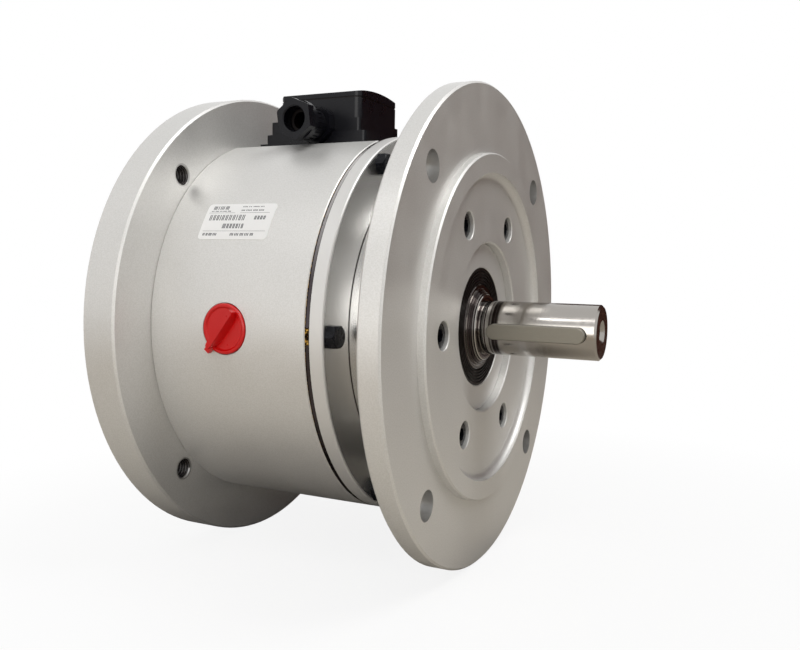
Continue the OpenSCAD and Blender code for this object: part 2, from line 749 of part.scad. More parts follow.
// Curved slots behind the lining that part the two magnetic poles of the rotor disc
module pole_slots() {
  for (i = [0:slot_count - 1]) rotate([i * 360 / slot_count, 0, 0])
    translate([rotor_disc_back - overcut, 0, 0]) rotate([0, 90, 0]) rotate_extrude(angle = slot_arc)
      translate([(coil_in_d + coil_out_d) / 4 - slot_w / 2, 0]) square([slot_w, rotor_t]);
}

module input_rotor() {
  color(steel_colour) difference() {
    union() {
      x_disc(journal_d, rotor_end, input_bearing_end + overcut, edge_bevel, 0);
      x_cyl(rotor_shoulder_d, input_bearing_end, carrier_end + overcut);
      x_cyl(rotor_hub_d, carrier_end, rotor_disc_back + overcut);
      x_disc(disc_d, rotor_disc_back, rotor_face, edge_bevel, edge_bevel);
      x_disc(rotor_boss_d, rotor_face - overcut, pilot_front, 0, edge_bevel);
    }
    x_cyl(shaft_d, rotor_end - overcut, pilot_front);
    x_cyl(shaft_d + 2 * edge_bevel, rotor_end, rotor_end + edge_bevel, shaft_d);
    x_cyl(pilot_bearing_d, pilot_back, pilot_front + overcut);
    translate([rotor_end - overcut, -key_w / 2, 0])
      cube([pilot_back - rotor_end + overcut, key_w, shaft_d / 2 + motor_key_h]);
    x_groove(journal_d, rotor_clip_x);
    pole_slots();
    x_tube(coil_out_d, coil_in_d, rotor_face - lining_t, rotor_face + overcut);
  }
}

// Groove for a circlip on a journal
module x_groove(d, x0) {
  x_tube(d + overcut, d - clip_bite, x0 - clip_side, x0 + circlip_t + clip_side / 2);
}

module clutch_lining() { window_lining(rotor_face - lining_t, rotor_face); }

module rotor_circlip() {
  color(steel_colour)
    circlip(journal_d + clip_rim, journal_d - clip_bite + seat_gap, rotor_clip_x, clip_open);
}

module input_bearing_outer_ring() {
  color(steel_colour) outer_ring(journal_d, input_bearing_d, input_bearing_w, input_ball_d, input_bearing_x);
}
module input_bearing_inner_ring() {
  color(steel_colour) inner_ring(journal_d, input_bearing_d, input_bearing_w, input_ball_d, input_bearing_x);
}
module input_bearing_ball_cage() {
  ball_cage(journal_d, input_bearing_d, input_bearing_w, input_ball_d, input_ball_count, input_bearing_x);
}
module input_bearing_circlip() {
  color(steel_colour) circlip(input_bearing_d + clip_bite - seat_gap, input_bearing_d - clip_rim,
                              flange_clip_x, clip_open);
}

module pilot_bearing_outer_ring() {
  color(steel_colour) outer_ring(pilot_bore_d, pilot_bearing_d, pilot_bearing_w, pilot_ball_d, pilot_back);
}
module pilot_bearing_inner_ring() {
  color(steel_colour) inner_ring(pilot_bore_d, pilot_bearing_d, pilot_bearing_w, pilot_ball_d, pilot_back);
}
module pilot_bearing_ball_cage() {
  ball_cage(pilot_bore_d, pilot_bearing_d, pilot_bearing_w, pilot_ball_d, pilot_ball_count, pilot_back);
}

// Armatures between rotor and brake magnet, with their hub and leaf springs
clutch_armature_x = rotor_face + air_gap;
spring_play = 0.02;
clutch_spring_x = clutch_armature_x + armature_t + spring_play;
hub_flange_x = clutch_spring_x + spring_t;
brake_spring_x = hub_flange_x + hub_flange_t;
brake_armature_x = brake_face - air_gap - armature_t;
brake_spring_t = brake_armature_x - spring_play - brake_spring_x;
hub_end = hub_flange_x + hub_len;
hub_seat_rise = 1;
hub_seat_d = shaft_d + 2 * hub_seat_rise;
hub_clip_t = 1.2;
rivet_d = 5;
rivet_head_d = 8;
rivet_head_h = 1.1;
rivet_count = 3;
rivet_circle_d = (hub_d + hub_flange_d) / 2;

module armature(x0) {
  color(steel_colour) x_tube(disc_d, armature_bore_d, x0, x0 + armature_t);
}
module clutch_armature() { armature(clutch_armature_x); }
module brake_armature() { armature(brake_armature_x); }

arm_reach = 18;

// Leaf spring: a clamped ring with arms that carry the armature disc
module leaf_spring(x0, t) {
  arm_end_d = armature_bore_d + 2 * arm_reach;
  color(steel_colour) difference() {
    union() {
      x_cyl(hub_flange_d, x0, x0 + t);
      for (i = [0:spring_arms - 1]) rotate([i * 360 / spring_arms, 0, 0]) {
        translate([x0, -spring_arm_w / 2, 0]) cube([t, spring_arm_w, arm_end_d / 2]);
        translate([0, 0, arm_end_d / 2]) x_cyl(spring_arm_w, x0, x0 + t);
      }
    }
    x_cyl(hub_d + 2 * seat_gap, x0 - overcut, x0 + t + overcut);
    around(rivet_count, rivet_circle_d, rivet_start)
      x_cyl(rivet_d + 2 * thread_gap, x0 - overcut, x0 + t + overcut);
  }
}
rivet_start = 60;
module clutch_spring() { leaf_spring(clutch_spring_x, spring_t); }
module brake_spring() { leaf_spring(brake_spring_x, brake_spring_t); }

module armature_hub() {
  color(steel_colour) difference() {
    union() {
      x_cyl(hub_flange_d, hub_flange_x, brake_spring_x);
      x_disc(hub_d, clutch_spring_x, hub_end, edge_bevel / 2, edge_bevel / 2);
    }
    x_cyl(hub_seat_d, clutch_spring_x - overcut, hub_end + overcut);
    x_cyl(hub_seat_d + 2 * clip_rim, clutch_spring_x - overcut, hub_flange_x);
    translate([hub_flange_x - overcut, -key_w / 2, 0])
      cube([hub_len + 2 * overcut, key_w, hub_seat_d / 2 - key_seat + key_h + seat_gap]);
    around(rivet_count, rivet_circle_d, rivet_start)
      x_cyl(rivet_d + 2 * thread_gap, hub_flange_x - overcut, brake_spring_x + overcut);
  }
}

module hub_rivets() {
  color(steel_colour) around(rivet_count, rivet_circle_d, rivet_start) {
    x_cyl(rivet_d, clutch_spring_x, brake_spring_x + brake_spring_t);
    x_disc(rivet_head_d, clutch_spring_x - rivet_head_h, clutch_spring_x, rivet_head_h / 2, 0);
    x_disc(rivet_head_d, brake_spring_x + brake_spring_t, brake_spring_x + brake_spring_t + rivet_head_h,
           0, rivet_head_h / 2);
  }
}

module hub_circlip() {
  color(steel_colour) difference() {
    x_tube(hub_seat_d + clip_rim, hub_seat_d - clip_bite + seat_gap, hub_flange_x - hub_clip_t, hub_flange_x);
    translate([hub_flange_x - hub_clip_t - overcut, -clip_open / 2, -hub_seat_d])
      cube([hub_clip_t + 2 * overcut, clip_open, hub_seat_d]);
  }
}

// Output shaft with its turned steps in front of the seal

pilot_end = pilot_back + 2 * seat_gap;
hub_key_len = 16;
spacer_seat_d = 40;
step_face = boss_front - 2 * seat_gap;
step_d = [43, 40.6, 38.4, 36.6, 34.8];
step_end = -0.6;
step_bevel = 0.4;
tip_bevel = 1;
countersink_w = 2;
countersink_d = shaft_tap_d + 2 * countersink_w;

// One polished step of the stack, with a small bevel
module shaft_step(i) {
  pitch = (step_end - step_face) / (len(step_d) - 1);
  x_disc(step_d[i], step_face - overcut, step_face + i * pitch, 0, step_bevel);
}

key_start = (shaft_len - key_len) / 2;
hub_key_start = hub_flange_x + edge_bevel;
key_room = 0.4;
key_bevel = 0.4;

// Seat of a key, a little longer than the key
module key_seat_cut(x0, len, d, angle) {
  rotate([angle, 0, 0]) translate([0, 0, d / 2 - key_seat]) linear_extrude(height = d)
    stadium(x0 - key_room, x0 + len + key_room, key_w);
}

module output_shaft() {
  color(steel_colour) difference() {
    union() {
      x_disc(pilot_bore_d, pilot_end, pilot_front + overcut, edge_bevel / 2, 0);
      x_disc(hub_seat_d, pilot_front + 2 * seat_gap, hub_end + overcut, edge_bevel / 2, 0);
      x_cyl(spacer_seat_d, hub_end, bearing_back);
      x_disc(journal_d, bearing_back, step_face, edge_bevel / 2, step_bevel);
      for (i = [0:len(step_d) - 1]) shaft_step(i);
      x_disc(shaft_d, step_face, shaft_len, 0, tip_bevel);
    }
    x_tube(hub_seat_d + overcut, hub_seat_d - clip_bite, hub_flange_x - hub_clip_t - clip_side, hub_flange_x);
    x_groove(journal_d, shaft_clip_x);
    key_seat_cut(key_start, key_len, shaft_d, key_angle);
    key_seat_cut(hub_key_start, hub_key_len, hub_seat_d, 0);
    x_cyl(shaft_tap_d, shaft_len - shaft_tap_depth, shaft_len + overcut);
    x_cyl(shaft_tap_d, shaft_len - countersink_w, shaft_len, countersink_d);
  }
}

// Key with round ends and a bevelled top, standing in its seat
module round_key(x0, len, d, angle) {
  w = key_w - seat_gap;
  wall_h = key_h - key_bevel;
  rotate([angle, 0, 0]) translate([x0 + w / 2, 0, d / 2 - key_seat]) {
    rotate([90, 0, 90]) linear_extrude(height = len - w)
      polygon([[-w / 2, 0], [w / 2, 0], [w / 2, wall_h], [w / 2 - key_bevel, key_h],
               [key_bevel - w / 2, key_h], [-w / 2, wall_h]]);
    for (x = [0, len - w]) translate([x, 0, 0]) {
      cylinder(d = w, h = wall_h);
      translate([0, 0, wall_h]) cylinder(d1 = w, d2 = w - 2 * key_bevel, h = key_bevel);
    }
  }
}
module output_key() { color(steel_colour) round_key(key_start, key_len, shaft_d, key_angle); }
module hub_key() { color(steel_colour) round_key(hub_key_start, hub_key_len, hub_seat_d, 0); }

module shaft_spacer() {
  spacer_rim = 3;
  color(steel_colour) x_tube(journal_d + 2 * spacer_rim, spacer_seat_d, hub_end, bearing_back);
}

module output_bearing_outer_ring() {
  color(steel_colour) outer_ring(journal_d, output_bearing_d, output_bearing_w, output_ball_d, bearing_back);
}
module output_bearing_inner_ring() {
  color(steel_colour) inner_ring(journal_d, output_bearing_d, output_bearing_w, output_ball_d, bearing_back);
}
module output_bearing_ball_cage() {
  ball_cage(journal_d, output_bearing_d, output_bearing_w, output_ball_d, output_ball_count, bearing_back);
}
module output_bearing_circlip() {
  color(steel_colour) circlip(output_bearing_d + clip_bite - seat_gap, output_bearing_d - clip_rim,
                              shield_clip_x, clip_open);
}
module shaft_circlip() {
  color(steel_colour)
    circlip(journal_d + clip_rim, journal_d - clip_bite + seat_gap, shaft_clip_x, clip_open);
}

// Rubber seal with a sunk face and raised rings round the lip
module shaft_seal() {
  lip_gap = 0.3;
  lip_w = 0.6;
  face_sink = 0.8;
  groove_in = 1.2;
  groove_w = 0.9;
  groove_pitch = 1.6;
  groove_count = 4;
  r_out = seal_d / 2;
  r_lip = journal_d / 2 + lip_gap;
  color(dark_colour) rotate([0, 90, 0]) rotate_extrude() difference() {
    polygon([[r_lip, seal_back], [r_out, seal_back], [r_out, seal_x], [r_lip, seal_x]]);
    for (i = [0:groove_count - 1]) translate([r_lip + groove_in + i * groove_pitch, seal_x - face_sink])
      square([groove_w, face_sink + overcut]);
    translate([r_lip - overcut, seal_x - face_sink]) square([lip_w + overcut, face_sink + overcut]);
  }
}

// Turning knob on the near side: stem, dished disc, leaf-shaped wing and pointer
disc_r0 = knob_face_r + knob_seal_t + run_gap;
disc_edge_r = 0.9;
disc_top = disc_r0 + knob_disc_t;

// Leaf outline along x, from a tip at x0 to a tip at x1
module leaf(x0, x1, w) {
  half = (x1 - x0) / 2;
  arc_r = (half * half + w * w / 4) / w;
  translate([(x0 + x1) / 2, 0]) intersection() {
    translate([0, arc_r - w / 2]) circle(r = arc_r);
    translate([0, w / 2 - arc_r]) circle(r = arc_r);
  }
}

// Wing with sloping sides on the dish floor, from rim to rim
module knob_wing(floor_r, top_r) {
  reach = knob_d / 2 - disc_edge_r;
  top_share = 0.45;
  intersection() {
    translate([0, 0, floor_r - overcut]) linear_extrude(height = top_r - floor_r + overcut)
      leaf(-reach - wing_w / 3, reach + wing_w / 3, wing_w);
    translate([-reach, 0, 0]) rotate([90, 0, 90]) linear_extrude(height = 2 * reach)
      polygon([[-wing_w / 2, floor_r - overcut], [wing_w / 2, floor_r - overcut],
               [top_share * wing_w / 2, top_r], [-top_share * wing_w / 2, top_r]]);
  }
}

module knob() {
  stem_out = 3;
  stem_end = housing_bore_d / 2 - stem_out;
  lip_h = 2;
  lip_out = 1.6;
  tip_w = 3;
  tip_lift = 0.4;
  rim_w = 1.5;
  dish = 0.8;
  dish_d = knob_d - 2 * rim_w;
  pointer_r0 = housing_d / 2 + tip_lift;
  color([0.86, 0.08, 0.08]) near_side(-knob_back, knob_z) {
    translate([0, 0, stem_end]) cylinder(d = knob_stem_d, h = disc_r0 - stem_end + overcut);
    translate([0, 0, stem_end - lip_h])
      cylinder(d1 = knob_stem_d - lip_out, d2 = knob_stem_d + lip_out, h = lip_h);
    difference() {
      rotate_extrude() {
        translate([0, disc_r0]) square([knob_d / 2 - disc_edge_r, knob_disc_t]);
        translate([0, disc_r0]) square([knob_d / 2, knob_disc_t - disc_edge_r]);
        translate([knob_d / 2 - disc_edge_r, disc_top - disc_edge_r]) circle(r = disc_edge_r);
      }
      translate([0, 0, disc_top - dish])
        cylinder(d1 = dish_d - 2 * dish, d2 = dish_d + 2 * overcut, h = dish + overcut);
    }
    rotate([0, 0, wing_angle]) {
      knob_wing(disc_top - dish, disc_top + wing_h);
      translate([-knob_d / 2 - pointer_reach, -tip_w / 2, pointer_r0])
        cube([pointer_reach + wing_w / 2, tip_w, disc_top + wing_h / 2 - pointer_r0]);
    }
  }
}

module knob_seal_ring() {
  color(black_colour) near_side(-knob_back, knob_z) translate([0, 0, knob_face_r]) difference() {
    cylinder(d = knob_d - 2 * knob_room, h = knob_seal_t);
    translate([0, 0, -overcut]) cylinder(d = knob_stem_d + 2 * screw_gap, h = knob_seal_t + 2 * overcut);
  }
}

// Terminal box on the pad: foot, skirt, shoulder and body, open at the top
box_x1 = -box_end_back;
box_x0 = box_x1 - box_len;
box_y = box_w / 2;
body_top = pad_z + box_body_h - gasket_t;
corner_r = 3.5;
floor_t = 2.4;
gland_boss_t = 4;
gland_boss_w = 20;
box_screw_d = 4;
box_screw_len = 7;
box_screw_in = 8;
box_screw_y = 3;
box_screw_at = [[box_x0 + box_screw_in, -box_screw_in], [box_x1 - box_screw_in, box_screw_y]];
lid_screw_d = 3;
lid_screw_len = 9;
lid_screw_in = 4.6;
lid_boss_d = 6.4;
skirt_step = 1.4;

module lid_screw_places() {
  for (x = [box_x0 + lid_screw_in, box_x1 - lid_screw_in], y = [-1, 1])
    translate([x, y * (box_y - lid_screw_in), 0]) children();
}

module terminal_box() {
  cavity_top = box_body_h + overcut;
  color(black_colour) difference() {
    union() {
      translate([0, 0, pad_z]) {
        linear_extrude(height = foot_h)
          round_rect(box_x0 - shoulder_out - skirt_step - foot_out, box_x1 + skirt_end, -box_y - skirt_out,
                     box_y + skirt_out, corner_r / 2);
        linear_extrude(height = skirt_h)
          round_rect(box_x0 - shoulder_out - skirt_step, box_x1 + skirt_end, -box_y - skirt_out,
                     box_y + skirt_out, corner_r / 2);
        linear_extrude(height = shoulder_h)
          round_rect(box_x0 - shoulder_out, box_x1, -box_y, box_y + shoulder_side, corner_r / 2);
        linear_extrude(height = box_body_h - gasket_t) round_rect(box_x0, box_x1, -box_y, box_y, corner_r);
      }
    }
    difference() {
      translate([0, 0, pad_z + floor_t]) linear_extrude(height = cavity_top)
        round_rect(box_x0 + box_wall, box_x1 - box_wall, -box_y + box_wall, box_y - box_wall,
                   corner_r - box_wall / 2);
      lid_screw_places() translate([0, 0, pad_z]) cylinder(d = lid_boss_d, h = box_body_h + 2 * overcut);
      translate([-gland_back - gland_boss_w / 2, box_wall - box_y - overcut, pad_z])
        cube([gland_boss_w, gland_boss_t + overcut, gland_h + gland_boss_w / 2]);
    }
    lid_screw_places() translate([0, 0, body_top - lid_screw_len])
      cylinder(d = lid_screw_d + 2 * thread_gap, h = lid_screw_len + overcut);
    translate([lead_x, 0, pad_z - overcut]) cylinder(d = lead_hole_d, h = floor_t + 2 * overcut);
    for (p = box_screw_at) translate([p.x, p.y, pad_z - overcut])
      cylinder(d = box_screw_d + 2 * screw_gap, h = floor_t + 2 * overcut);
    near_side(-gland_back, pad_z + gland_h) {
      translate([0, 0, box_y - box_wall - gland_boss_t - overcut])
        cylinder(d = gland_thread_d + 2 * thread_gap, h = box_wall + gland_boss_t + 2 * overcut);
      translate([0, 0, box_y]) cylinder(d = gland_collar_d + 2 * seat_gap, h = skirt_out + overcut);
    }
  }
}

module lid_gasket() {
  gasket_in = 0.3;
  boss_room = 0.5;
  color(dark_colour) translate([0, 0, body_top]) linear_extrude(height = gasket_t) difference() {
    round_rect(box_x0 + gasket_in, box_x1 - gasket_in, gasket_in - box_y, box_y - gasket_in, corner_r);
    round_rect(box_x0 + box_wall, box_x1 - box_wall, -box_y + box_wall, box_y - box_wall, corner_r / 2);
    for (x = [box_x0 + lid_screw_in, box_x1 - lid_screw_in], y = [-1, 1])
      translate([x, y * (box_y - lid_screw_in)]) circle(d = lid_boss_d + 2 * boss_room);
  }
}

// Crowned lid: arched across the shaft, bevelled at its input end
lid_z = pad_z + box_body_h;
crown_r = (box_y * box_y + lid_crown * lid_crown) / (2 * lid_crown);
crown_top = lid_z + lid_edge_h + lid_crown;

module terminal_lid() {
  end_bevel = 6.6;
  end_drop = 2.4;
  color(black_colour) difference() {
    intersection() {
      translate([0, 0, lid_z]) linear_extrude(height = lid_edge_h + lid_crown)
        round_rect(box_x0, box_x1, -box_y, box_y, corner_r);
      translate([0, 0, crown_top - crown_r]) x_cyl(2 * crown_r, box_x0 - overcut, box_x1 + overcut);
      translate([0, box_y + overcut, 0]) rotate([90, 0, 0]) linear_extrude(height = box_w + 2 * overcut)
        polygon([[box_x0, lid_z - overcut], [box_x1, lid_z - overcut], [box_x1, crown_top],
                 [box_x0 + end_bevel, crown_top - end_drop / 8],
                 [box_x0 + end_bevel / 2, crown_top - end_drop / 2],
                 [box_x0, crown_top - lid_crown / 2 - end_drop]]);
    }
    lid_screw_places() {
      cylinder(d = lid_screw_d + 2 * screw_gap, h = crown_top + overcut);
      translate([0, 0, lid_z + lid_seat_h]) cylinder(d = lid_head_d + 2 * screw_gap, h = crown_top);
    }
  }
}
lid_head_d = 5.4;
lid_head_h = 1.6;
lid_seat_h = 1.2;

module lid_screws() {
  slot_w = 0.8;
  slot_l = 3.4;
  color(steel_colour) lid_screw_places() translate([0, 0, lid_z + lid_seat_h]) difference() {
    union() {
      cylinder(d = lid_head_d, h = lid_head_h);
      translate([0, 0, -lid_screw_len]) cylinder(d = lid_screw_d, h = lid_screw_len + overcut);
    }
    for (a = [0, 90]) rotate([0, 0, a]) translate([-slot_l / 2, -slot_w / 2, lid_head_h / 3])
      cube([slot_l, slot_w, lid_head_h]);
  }
}

module box_screws() {
  head_d = 7;
  head_h = 2.4;
  color(steel_colour) for (p = box_screw_at) translate([p.x, p.y, pad_z + floor_t]) {
    cylinder(d = head_d, h = head_h);
    translate([0, 0, -box_screw_len]) cylinder(d = box_screw_d, h = box_screw_len + head_h / 2);
  }
}

// Terminal block beside the lead hole, with a clamp screw well for each lead
block_gap = 1.5;
block_y = lead_hole_d / 2 + block_gap;
module terminal_block() {
  block_in = 5;
  block_x = lead_x - block_in;
  block_len = 27;
  block_w = 9;
  block_h = 9;
  pole_count = 4;
  well_d = 3.6;
  color([0.85, 0.85, 0.8]) difference() {
    translate([block_x, block_y, pad_z + floor_t]) cube([block_len, block_w, block_h]);
    for (i = [0:pole_count - 1])
      translate([block_x + (i + 0.5) * block_len / pole_count, block_y + block_w / 2,
                 pad_z + floor_t + block_h / 2]) cylinder(d = well_d, h = block_h);
  }
}

// Cable gland on the near side of the box
gland_flange_w = 5.6;
gland_hex_w = 4.4;
gland_collar_w = 3.6;
gland_skirt_w = 7;
gland_collar_rim = 0.7;
gland_thread_relief = 0.4;
gland_seal_wall = 1.8;
gland_seal_depth = 4;
gland_seal_out = 1.2;
gland_flange_end = box_y + gland_flange_w;
gland_hex = gland_reach - gland_hex_w;
gland_collar = gland_hex - gland_collar_w;
gland_skirt = gland_collar - gland_skirt_w;
gland_thread_end = gland_collar - overcut;
gland_corner_d = gland_af / cos(30);
gland_collar_d = gland_af + 2 * gland_collar_rim;
gland_neck_d = gland_thread_d - 2 * gland_thread_relief;
gland_seal_d = gland_thread_d - 2 * gland_seal_wall;
gland_seal_x = gland_thread_end - gland_seal_depth;

module gland_body() {
  color(black_colour) near_side(-gland_back, pad_z + gland_h) difference() {
    union() {
      translate([0, 0, box_y]) intersection() {
        rotate([0, 0, gland_turn]) cylinder(d = gland_corner_d, h = gland_flange_end - box_y, $fn = 6);
        cylinder(d = gland_collar_d, h = gland_flange_end - box_y);
      }
      translate([0, 0, box_y - box_wall - gland_boss_t])
        cylinder(d = gland_thread_d, h = box_wall + gland_boss_t + overcut);
      translate([0, 0, gland_flange_end - overcut])
        cylinder(d = gland_neck_d, h = gland_thread_end - gland_flange_end + overcut);
    }
    cylinder(d = gland_seal_bore_d + overcut, h = gland_reach);
    translate([0, 0, gland_seal_x]) cylinder(d = gland_seal_d, h = gland_reach);
  }
}
gland_turn = 37.5;

module gland_seal() {
  color(dark_colour) near_side(-gland_back, pad_z + gland_h)
    translate([0, 0, gland_seal_x + seat_gap]) difference() {
      cylinder(d = gland_seal_d - 2 * seat_gap, h = gland_seal_depth + gland_seal_out);
      translate([0, 0, -overcut]) cylinder(d = gland_seal_bore_d, h = gland_reach);
    }
}

module gland_nut() {
  rib_count = 24;
  rib_w = 1.1;
  rib_h = 0.5;
  skirt_wall = 0.8;
  hex_flare = 1.5;
  hex_bevel = 0.3;
  thread_room = 0.6;
  skirt_d = gland_thread_d + 2 * skirt_wall;
  color(black_colour) near_side(-gland_back, pad_z + gland_h) difference() {
    union() {
      translate([0, 0, gland_hex - overcut]) intersection() {
        rotate([0, 0, gland_turn]) cylinder(d = gland_corner_d, h = gland_hex_w + overcut, $fn = 6);
        cylinder(d1 = gland_corner_d + 2 * hex_flare, d2 = gland_corner_d - 2 * hex_bevel,
                 h = gland_hex_w + overcut);
      }
      translate([0, 0, gland_collar]) cylinder(d = gland_collar_d, h = gland_collar_w);
      translate([0, 0, gland_skirt]) cylinder(d = skirt_d, h = gland_skirt_w + overcut);
      for (i = [0:rib_count - 1]) rotate([0, 0, i * 360 / rib_count])
        translate([skirt_d / 2 - overcut, -rib_w / 2, gland_skirt])
          cube([overcut + rib_h, rib_w, gland_skirt_w + overcut]);
    }
    cylinder(d = gland_mouth_d, h = gland_reach + overcut);
    translate([0, 0, gland_skirt - overcut])
      cylinder(d = gland_neck_d + 2 * thread_gap, h = gland_thread_end + thread_room - gland_skirt + overcut);
    translate([0, 0, gland_reach - hole_bevel])
      cylinder(d1 = gland_mouth_d, d2 = gland_mouth_d + 4 * hole_bevel, h = 2 * hole_bevel);
  }
}

// Coil leads: two from each magnet, bent once or twice on the way up to the terminal block
lead_d = 2;
lead_bend = 4;
lead_side = 2.4;
lead_room = 3.2;
brake_lead_in = 6.5;
lead_parting = 5.5;
lead_play = 0.5;
clutch_lead_x = lead_x - 2 * lead_play;
brake_lead_x = brake_face + brake_lead_in;
lead_run_z = nose_d / 2 + lead_room;
lead_rise_x = clutch_lead_x + lead_parting;

// Hole and slot that the leads take through the magnets and the housing's nose
module lead_exit(x, d_out, d_in) {
  for (y = [-lead_side, lead_side]) translate([x, y, d_in / 2 - lead_d])
    cylinder(d = lead_d + 2 * lead_play, h = d_out);
}
module lead_slot() {
  slot_w = 2 * (lead_side + lead_d);
  translate([housing_front - housing_nose_len - housing_cone_len - overcut, -slot_w / 2, 0])
    cube([brake_lead_x + 2 * lead_d - housing_front + housing_nose_len + housing_cone_len + overcut, slot_w,
          lead_run_z + lead_d]);
}

// Quarter bend in the x-z plane, round the origin
module lead_bend_piece() {
  rotate([90, 0, 0]) rotate_extrude(angle = 90) translate([lead_bend, 0]) circle(d = lead_d);
}

// End of a lead: straight up from z0, bent at its own height and on into the terminal block
module lead_end(x, y, z0) {
  bend_r = 2;
  run_z = pad_z + floor_t + (y < 0 ? lead_high : lead_low);
  translate([x, y, z0]) cylinder(d = lead_d, h = run_z - bend_r - z0);
  translate([x, y + bend_r, run_z - bend_r]) rotate([0, -90, 0]) rotate([0, 0, -90])
    rotate_extrude(angle = 90) translate([bend_r, 0]) circle(d = lead_d);
  translate([x, y + bend_r, run_z]) rotate([-90, 0, 0])
    cylinder(d = lead_d, h = block_y - y - bend_r);
}
lead_low = 2.8;
lead_high = 6.4;

module coil_leads() {
  coil_r = coil_out_d / 2 - seat_gap;
  color([0.72, 0.12, 0.1]) for (y = [-lead_side, lead_side]) {
    lead_end(clutch_lead_x, y, coil_r);
    translate([brake_lead_x, y, coil_r]) cylinder(d = lead_d, h = lead_run_z - lead_bend - coil_r);
    translate([brake_lead_x - lead_bend, y, lead_run_z - lead_bend]) lead_bend_piece();
    translate([lead_rise_x + lead_bend, y, lead_run_z]) rotate([0, 90, 0])
      cylinder(d = lead_d, h = brake_lead_x - lead_rise_x - 2 * lead_bend);
    translate([lead_rise_x + lead_bend, y, lead_run_z + lead_bend]) rotate([0, 180, 0]) lead_bend_piece();
    lead_end(lead_rise_x, y, lead_run_z + lead_bend);
  }
}

// Rating label, bent round the housing
module rating_label() {
  r = housing_d / 2;
  label_corner = 2;
  color("white") intersection() {
    x_tube(housing_d + 2 * label_t, housing_d, -label_back - label_len, -label_back + label_len);
    rotate([label_angle, 0, 0]) translate([0, 0, r / 2]) linear_extrude(height = r)
      round_rect(-label_back - label_len / 2, -label_back + label_len / 2, -label_h / 2, label_h / 2,
                 label_corner);
  }
}

output_flange();
output_flange_screws();
end_shield();
shield_bolts();
brake_magnet();
brake_shim();
brake_coil();
brake_lining();
housing();
input_flange();
input_flange_screws();
clutch_magnet();
clutch_coil();
clutch_magnet_screws();
input_rotor();
clutch_lining();
rotor_circlip();
input_bearing_outer_ring();
input_bearing_inner_ring();
input_bearing_ball_cage();
input_bearing_circlip();
pilot_bearing_outer_ring();
pilot_bearing_inner_ring();
pilot_bearing_ball_cage();
output_shaft();
output_key();
armature_hub();
hub_key();
hub_circlip();
hub_rivets();
clutch_spring();
brake_spring();
clutch_armature();
brake_armature();
shaft_spacer();
output_bearing_outer_ring();
output_bearing_inner_ring();
output_bearing_ball_cage();
output_bearing_circlip();
shaft_circlip();
shaft_seal();
knob();
knob_seal_ring();
terminal_box();
terminal_lid();
lid_gasket();
lid_screws();
box_screws();
terminal_block();
gland_body();
gland_nut();
gland_seal();
coil_leads();
rating_label();
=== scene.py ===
"""Looks of the clutch brake unit: materials, threads, label print, light and camera.

Lengths are in metres in the part's own frame: the shaft is the X axis, the origin is the middle of the
output flange's face, and +Z is up. Depths of relief and the label's layout are written in millimetres.
"""

import json
import math

import bpy
from mathutils import Matrix, Vector


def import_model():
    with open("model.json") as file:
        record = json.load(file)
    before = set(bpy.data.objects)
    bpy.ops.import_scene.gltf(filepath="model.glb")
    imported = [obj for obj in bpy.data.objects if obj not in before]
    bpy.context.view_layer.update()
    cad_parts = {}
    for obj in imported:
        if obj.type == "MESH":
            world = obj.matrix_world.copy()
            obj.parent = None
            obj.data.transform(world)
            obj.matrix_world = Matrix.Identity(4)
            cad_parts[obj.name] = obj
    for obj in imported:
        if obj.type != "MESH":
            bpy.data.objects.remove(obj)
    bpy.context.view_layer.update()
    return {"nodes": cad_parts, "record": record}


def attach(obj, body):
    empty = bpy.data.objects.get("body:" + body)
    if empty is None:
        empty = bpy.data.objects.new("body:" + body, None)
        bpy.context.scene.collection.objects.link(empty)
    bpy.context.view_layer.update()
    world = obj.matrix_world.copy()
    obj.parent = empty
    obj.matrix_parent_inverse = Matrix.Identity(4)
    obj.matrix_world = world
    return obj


MM = 0.001
TAU = 2 * math.pi


def srgb(r, g, b):
    """Colour written in 0..255 screen values, as linear values for a shader."""

    def linear(v):
        v /= 255
        return v / 12.92 if v <= 0.04045 else ((v + 0.055) / 1.055) ** 2.4

    return (linear(r), linear(g), linear(b), 1.0)


# Camera of the photograph
CAMERA_AT = (0.1472, -0.4150, 0.0358)
CAMERA_LOOK = (-0.4298, 0.8993, -0.0806)
CAMERA_UP = (-0.0487, 0.0660, 0.9966)
CAMERA_LENS = 37.52
CAMERA_SENSOR = 36

# Sizes of the part that the looks are fitted to
FLANGE_R = 125 * MM
HOUSING_R = 100 * MM
NECK_R = 76.5 * MM
BOSS_R = 62 * MM
INPUT_BACK = -158.4 * MM
INPUT_FRONT = -138.9 * MM
MAGNET_RIM_X = -49.15 * MM
MAGNET_RIM_W = 2.3 * MM
SHIELD_FACE_X = -41 * MM
SHAFT_ROOT_X = 9.5 * MM
SHAFT_ROOT_FADE = 1 * MM
HOLE_CIRCLE_R = 107.5 * MM
HOLE_ANGLES = (45, 135, 225, 315)

# Drilled flange holes: the radius up to which the bare wall, darkened with painted shade, reaches on the
# input and on the output side, and the width over which it fades out
TAPPED_EDGE_R = 5.75 * MM
THROUGH_EDGE_R = 7.35 * MM
HOLE_FADE = 0.1 * MM

# End shield: how far the bright face stays off boss and rim, and the line of painted shade in the corner at
# the neck, as distances from the corner where it starts and where it is darkest
BRIGHT_MARGIN_FROM, BRIGHT_MARGIN_TO = 1.6 * MM, 0.8 * MM
NECK_SHADE_FROM, NECK_SHADE_TO = 0.6 * MM, 0.2 * MM

# Magnet rim: width of its edges that carry painted shade from the gaps beside them, the depth below the
# housing's radius that gets this shade, each with a fade, and the heights between which its upper part turns
# pale with a painted reflection of the light from above
RIM_GAP_SHADE_FROM, RIM_GAP_SHADE_TO = 0.5 * MM, 0.4 * MM
RIM_DEPTH_FROM, RIM_DEPTH_TO = 2 * MM, 1.5 * MM
RIM_REFLECTION_FROM, RIM_REFLECTION_TO = 25 * MM, 80 * MM

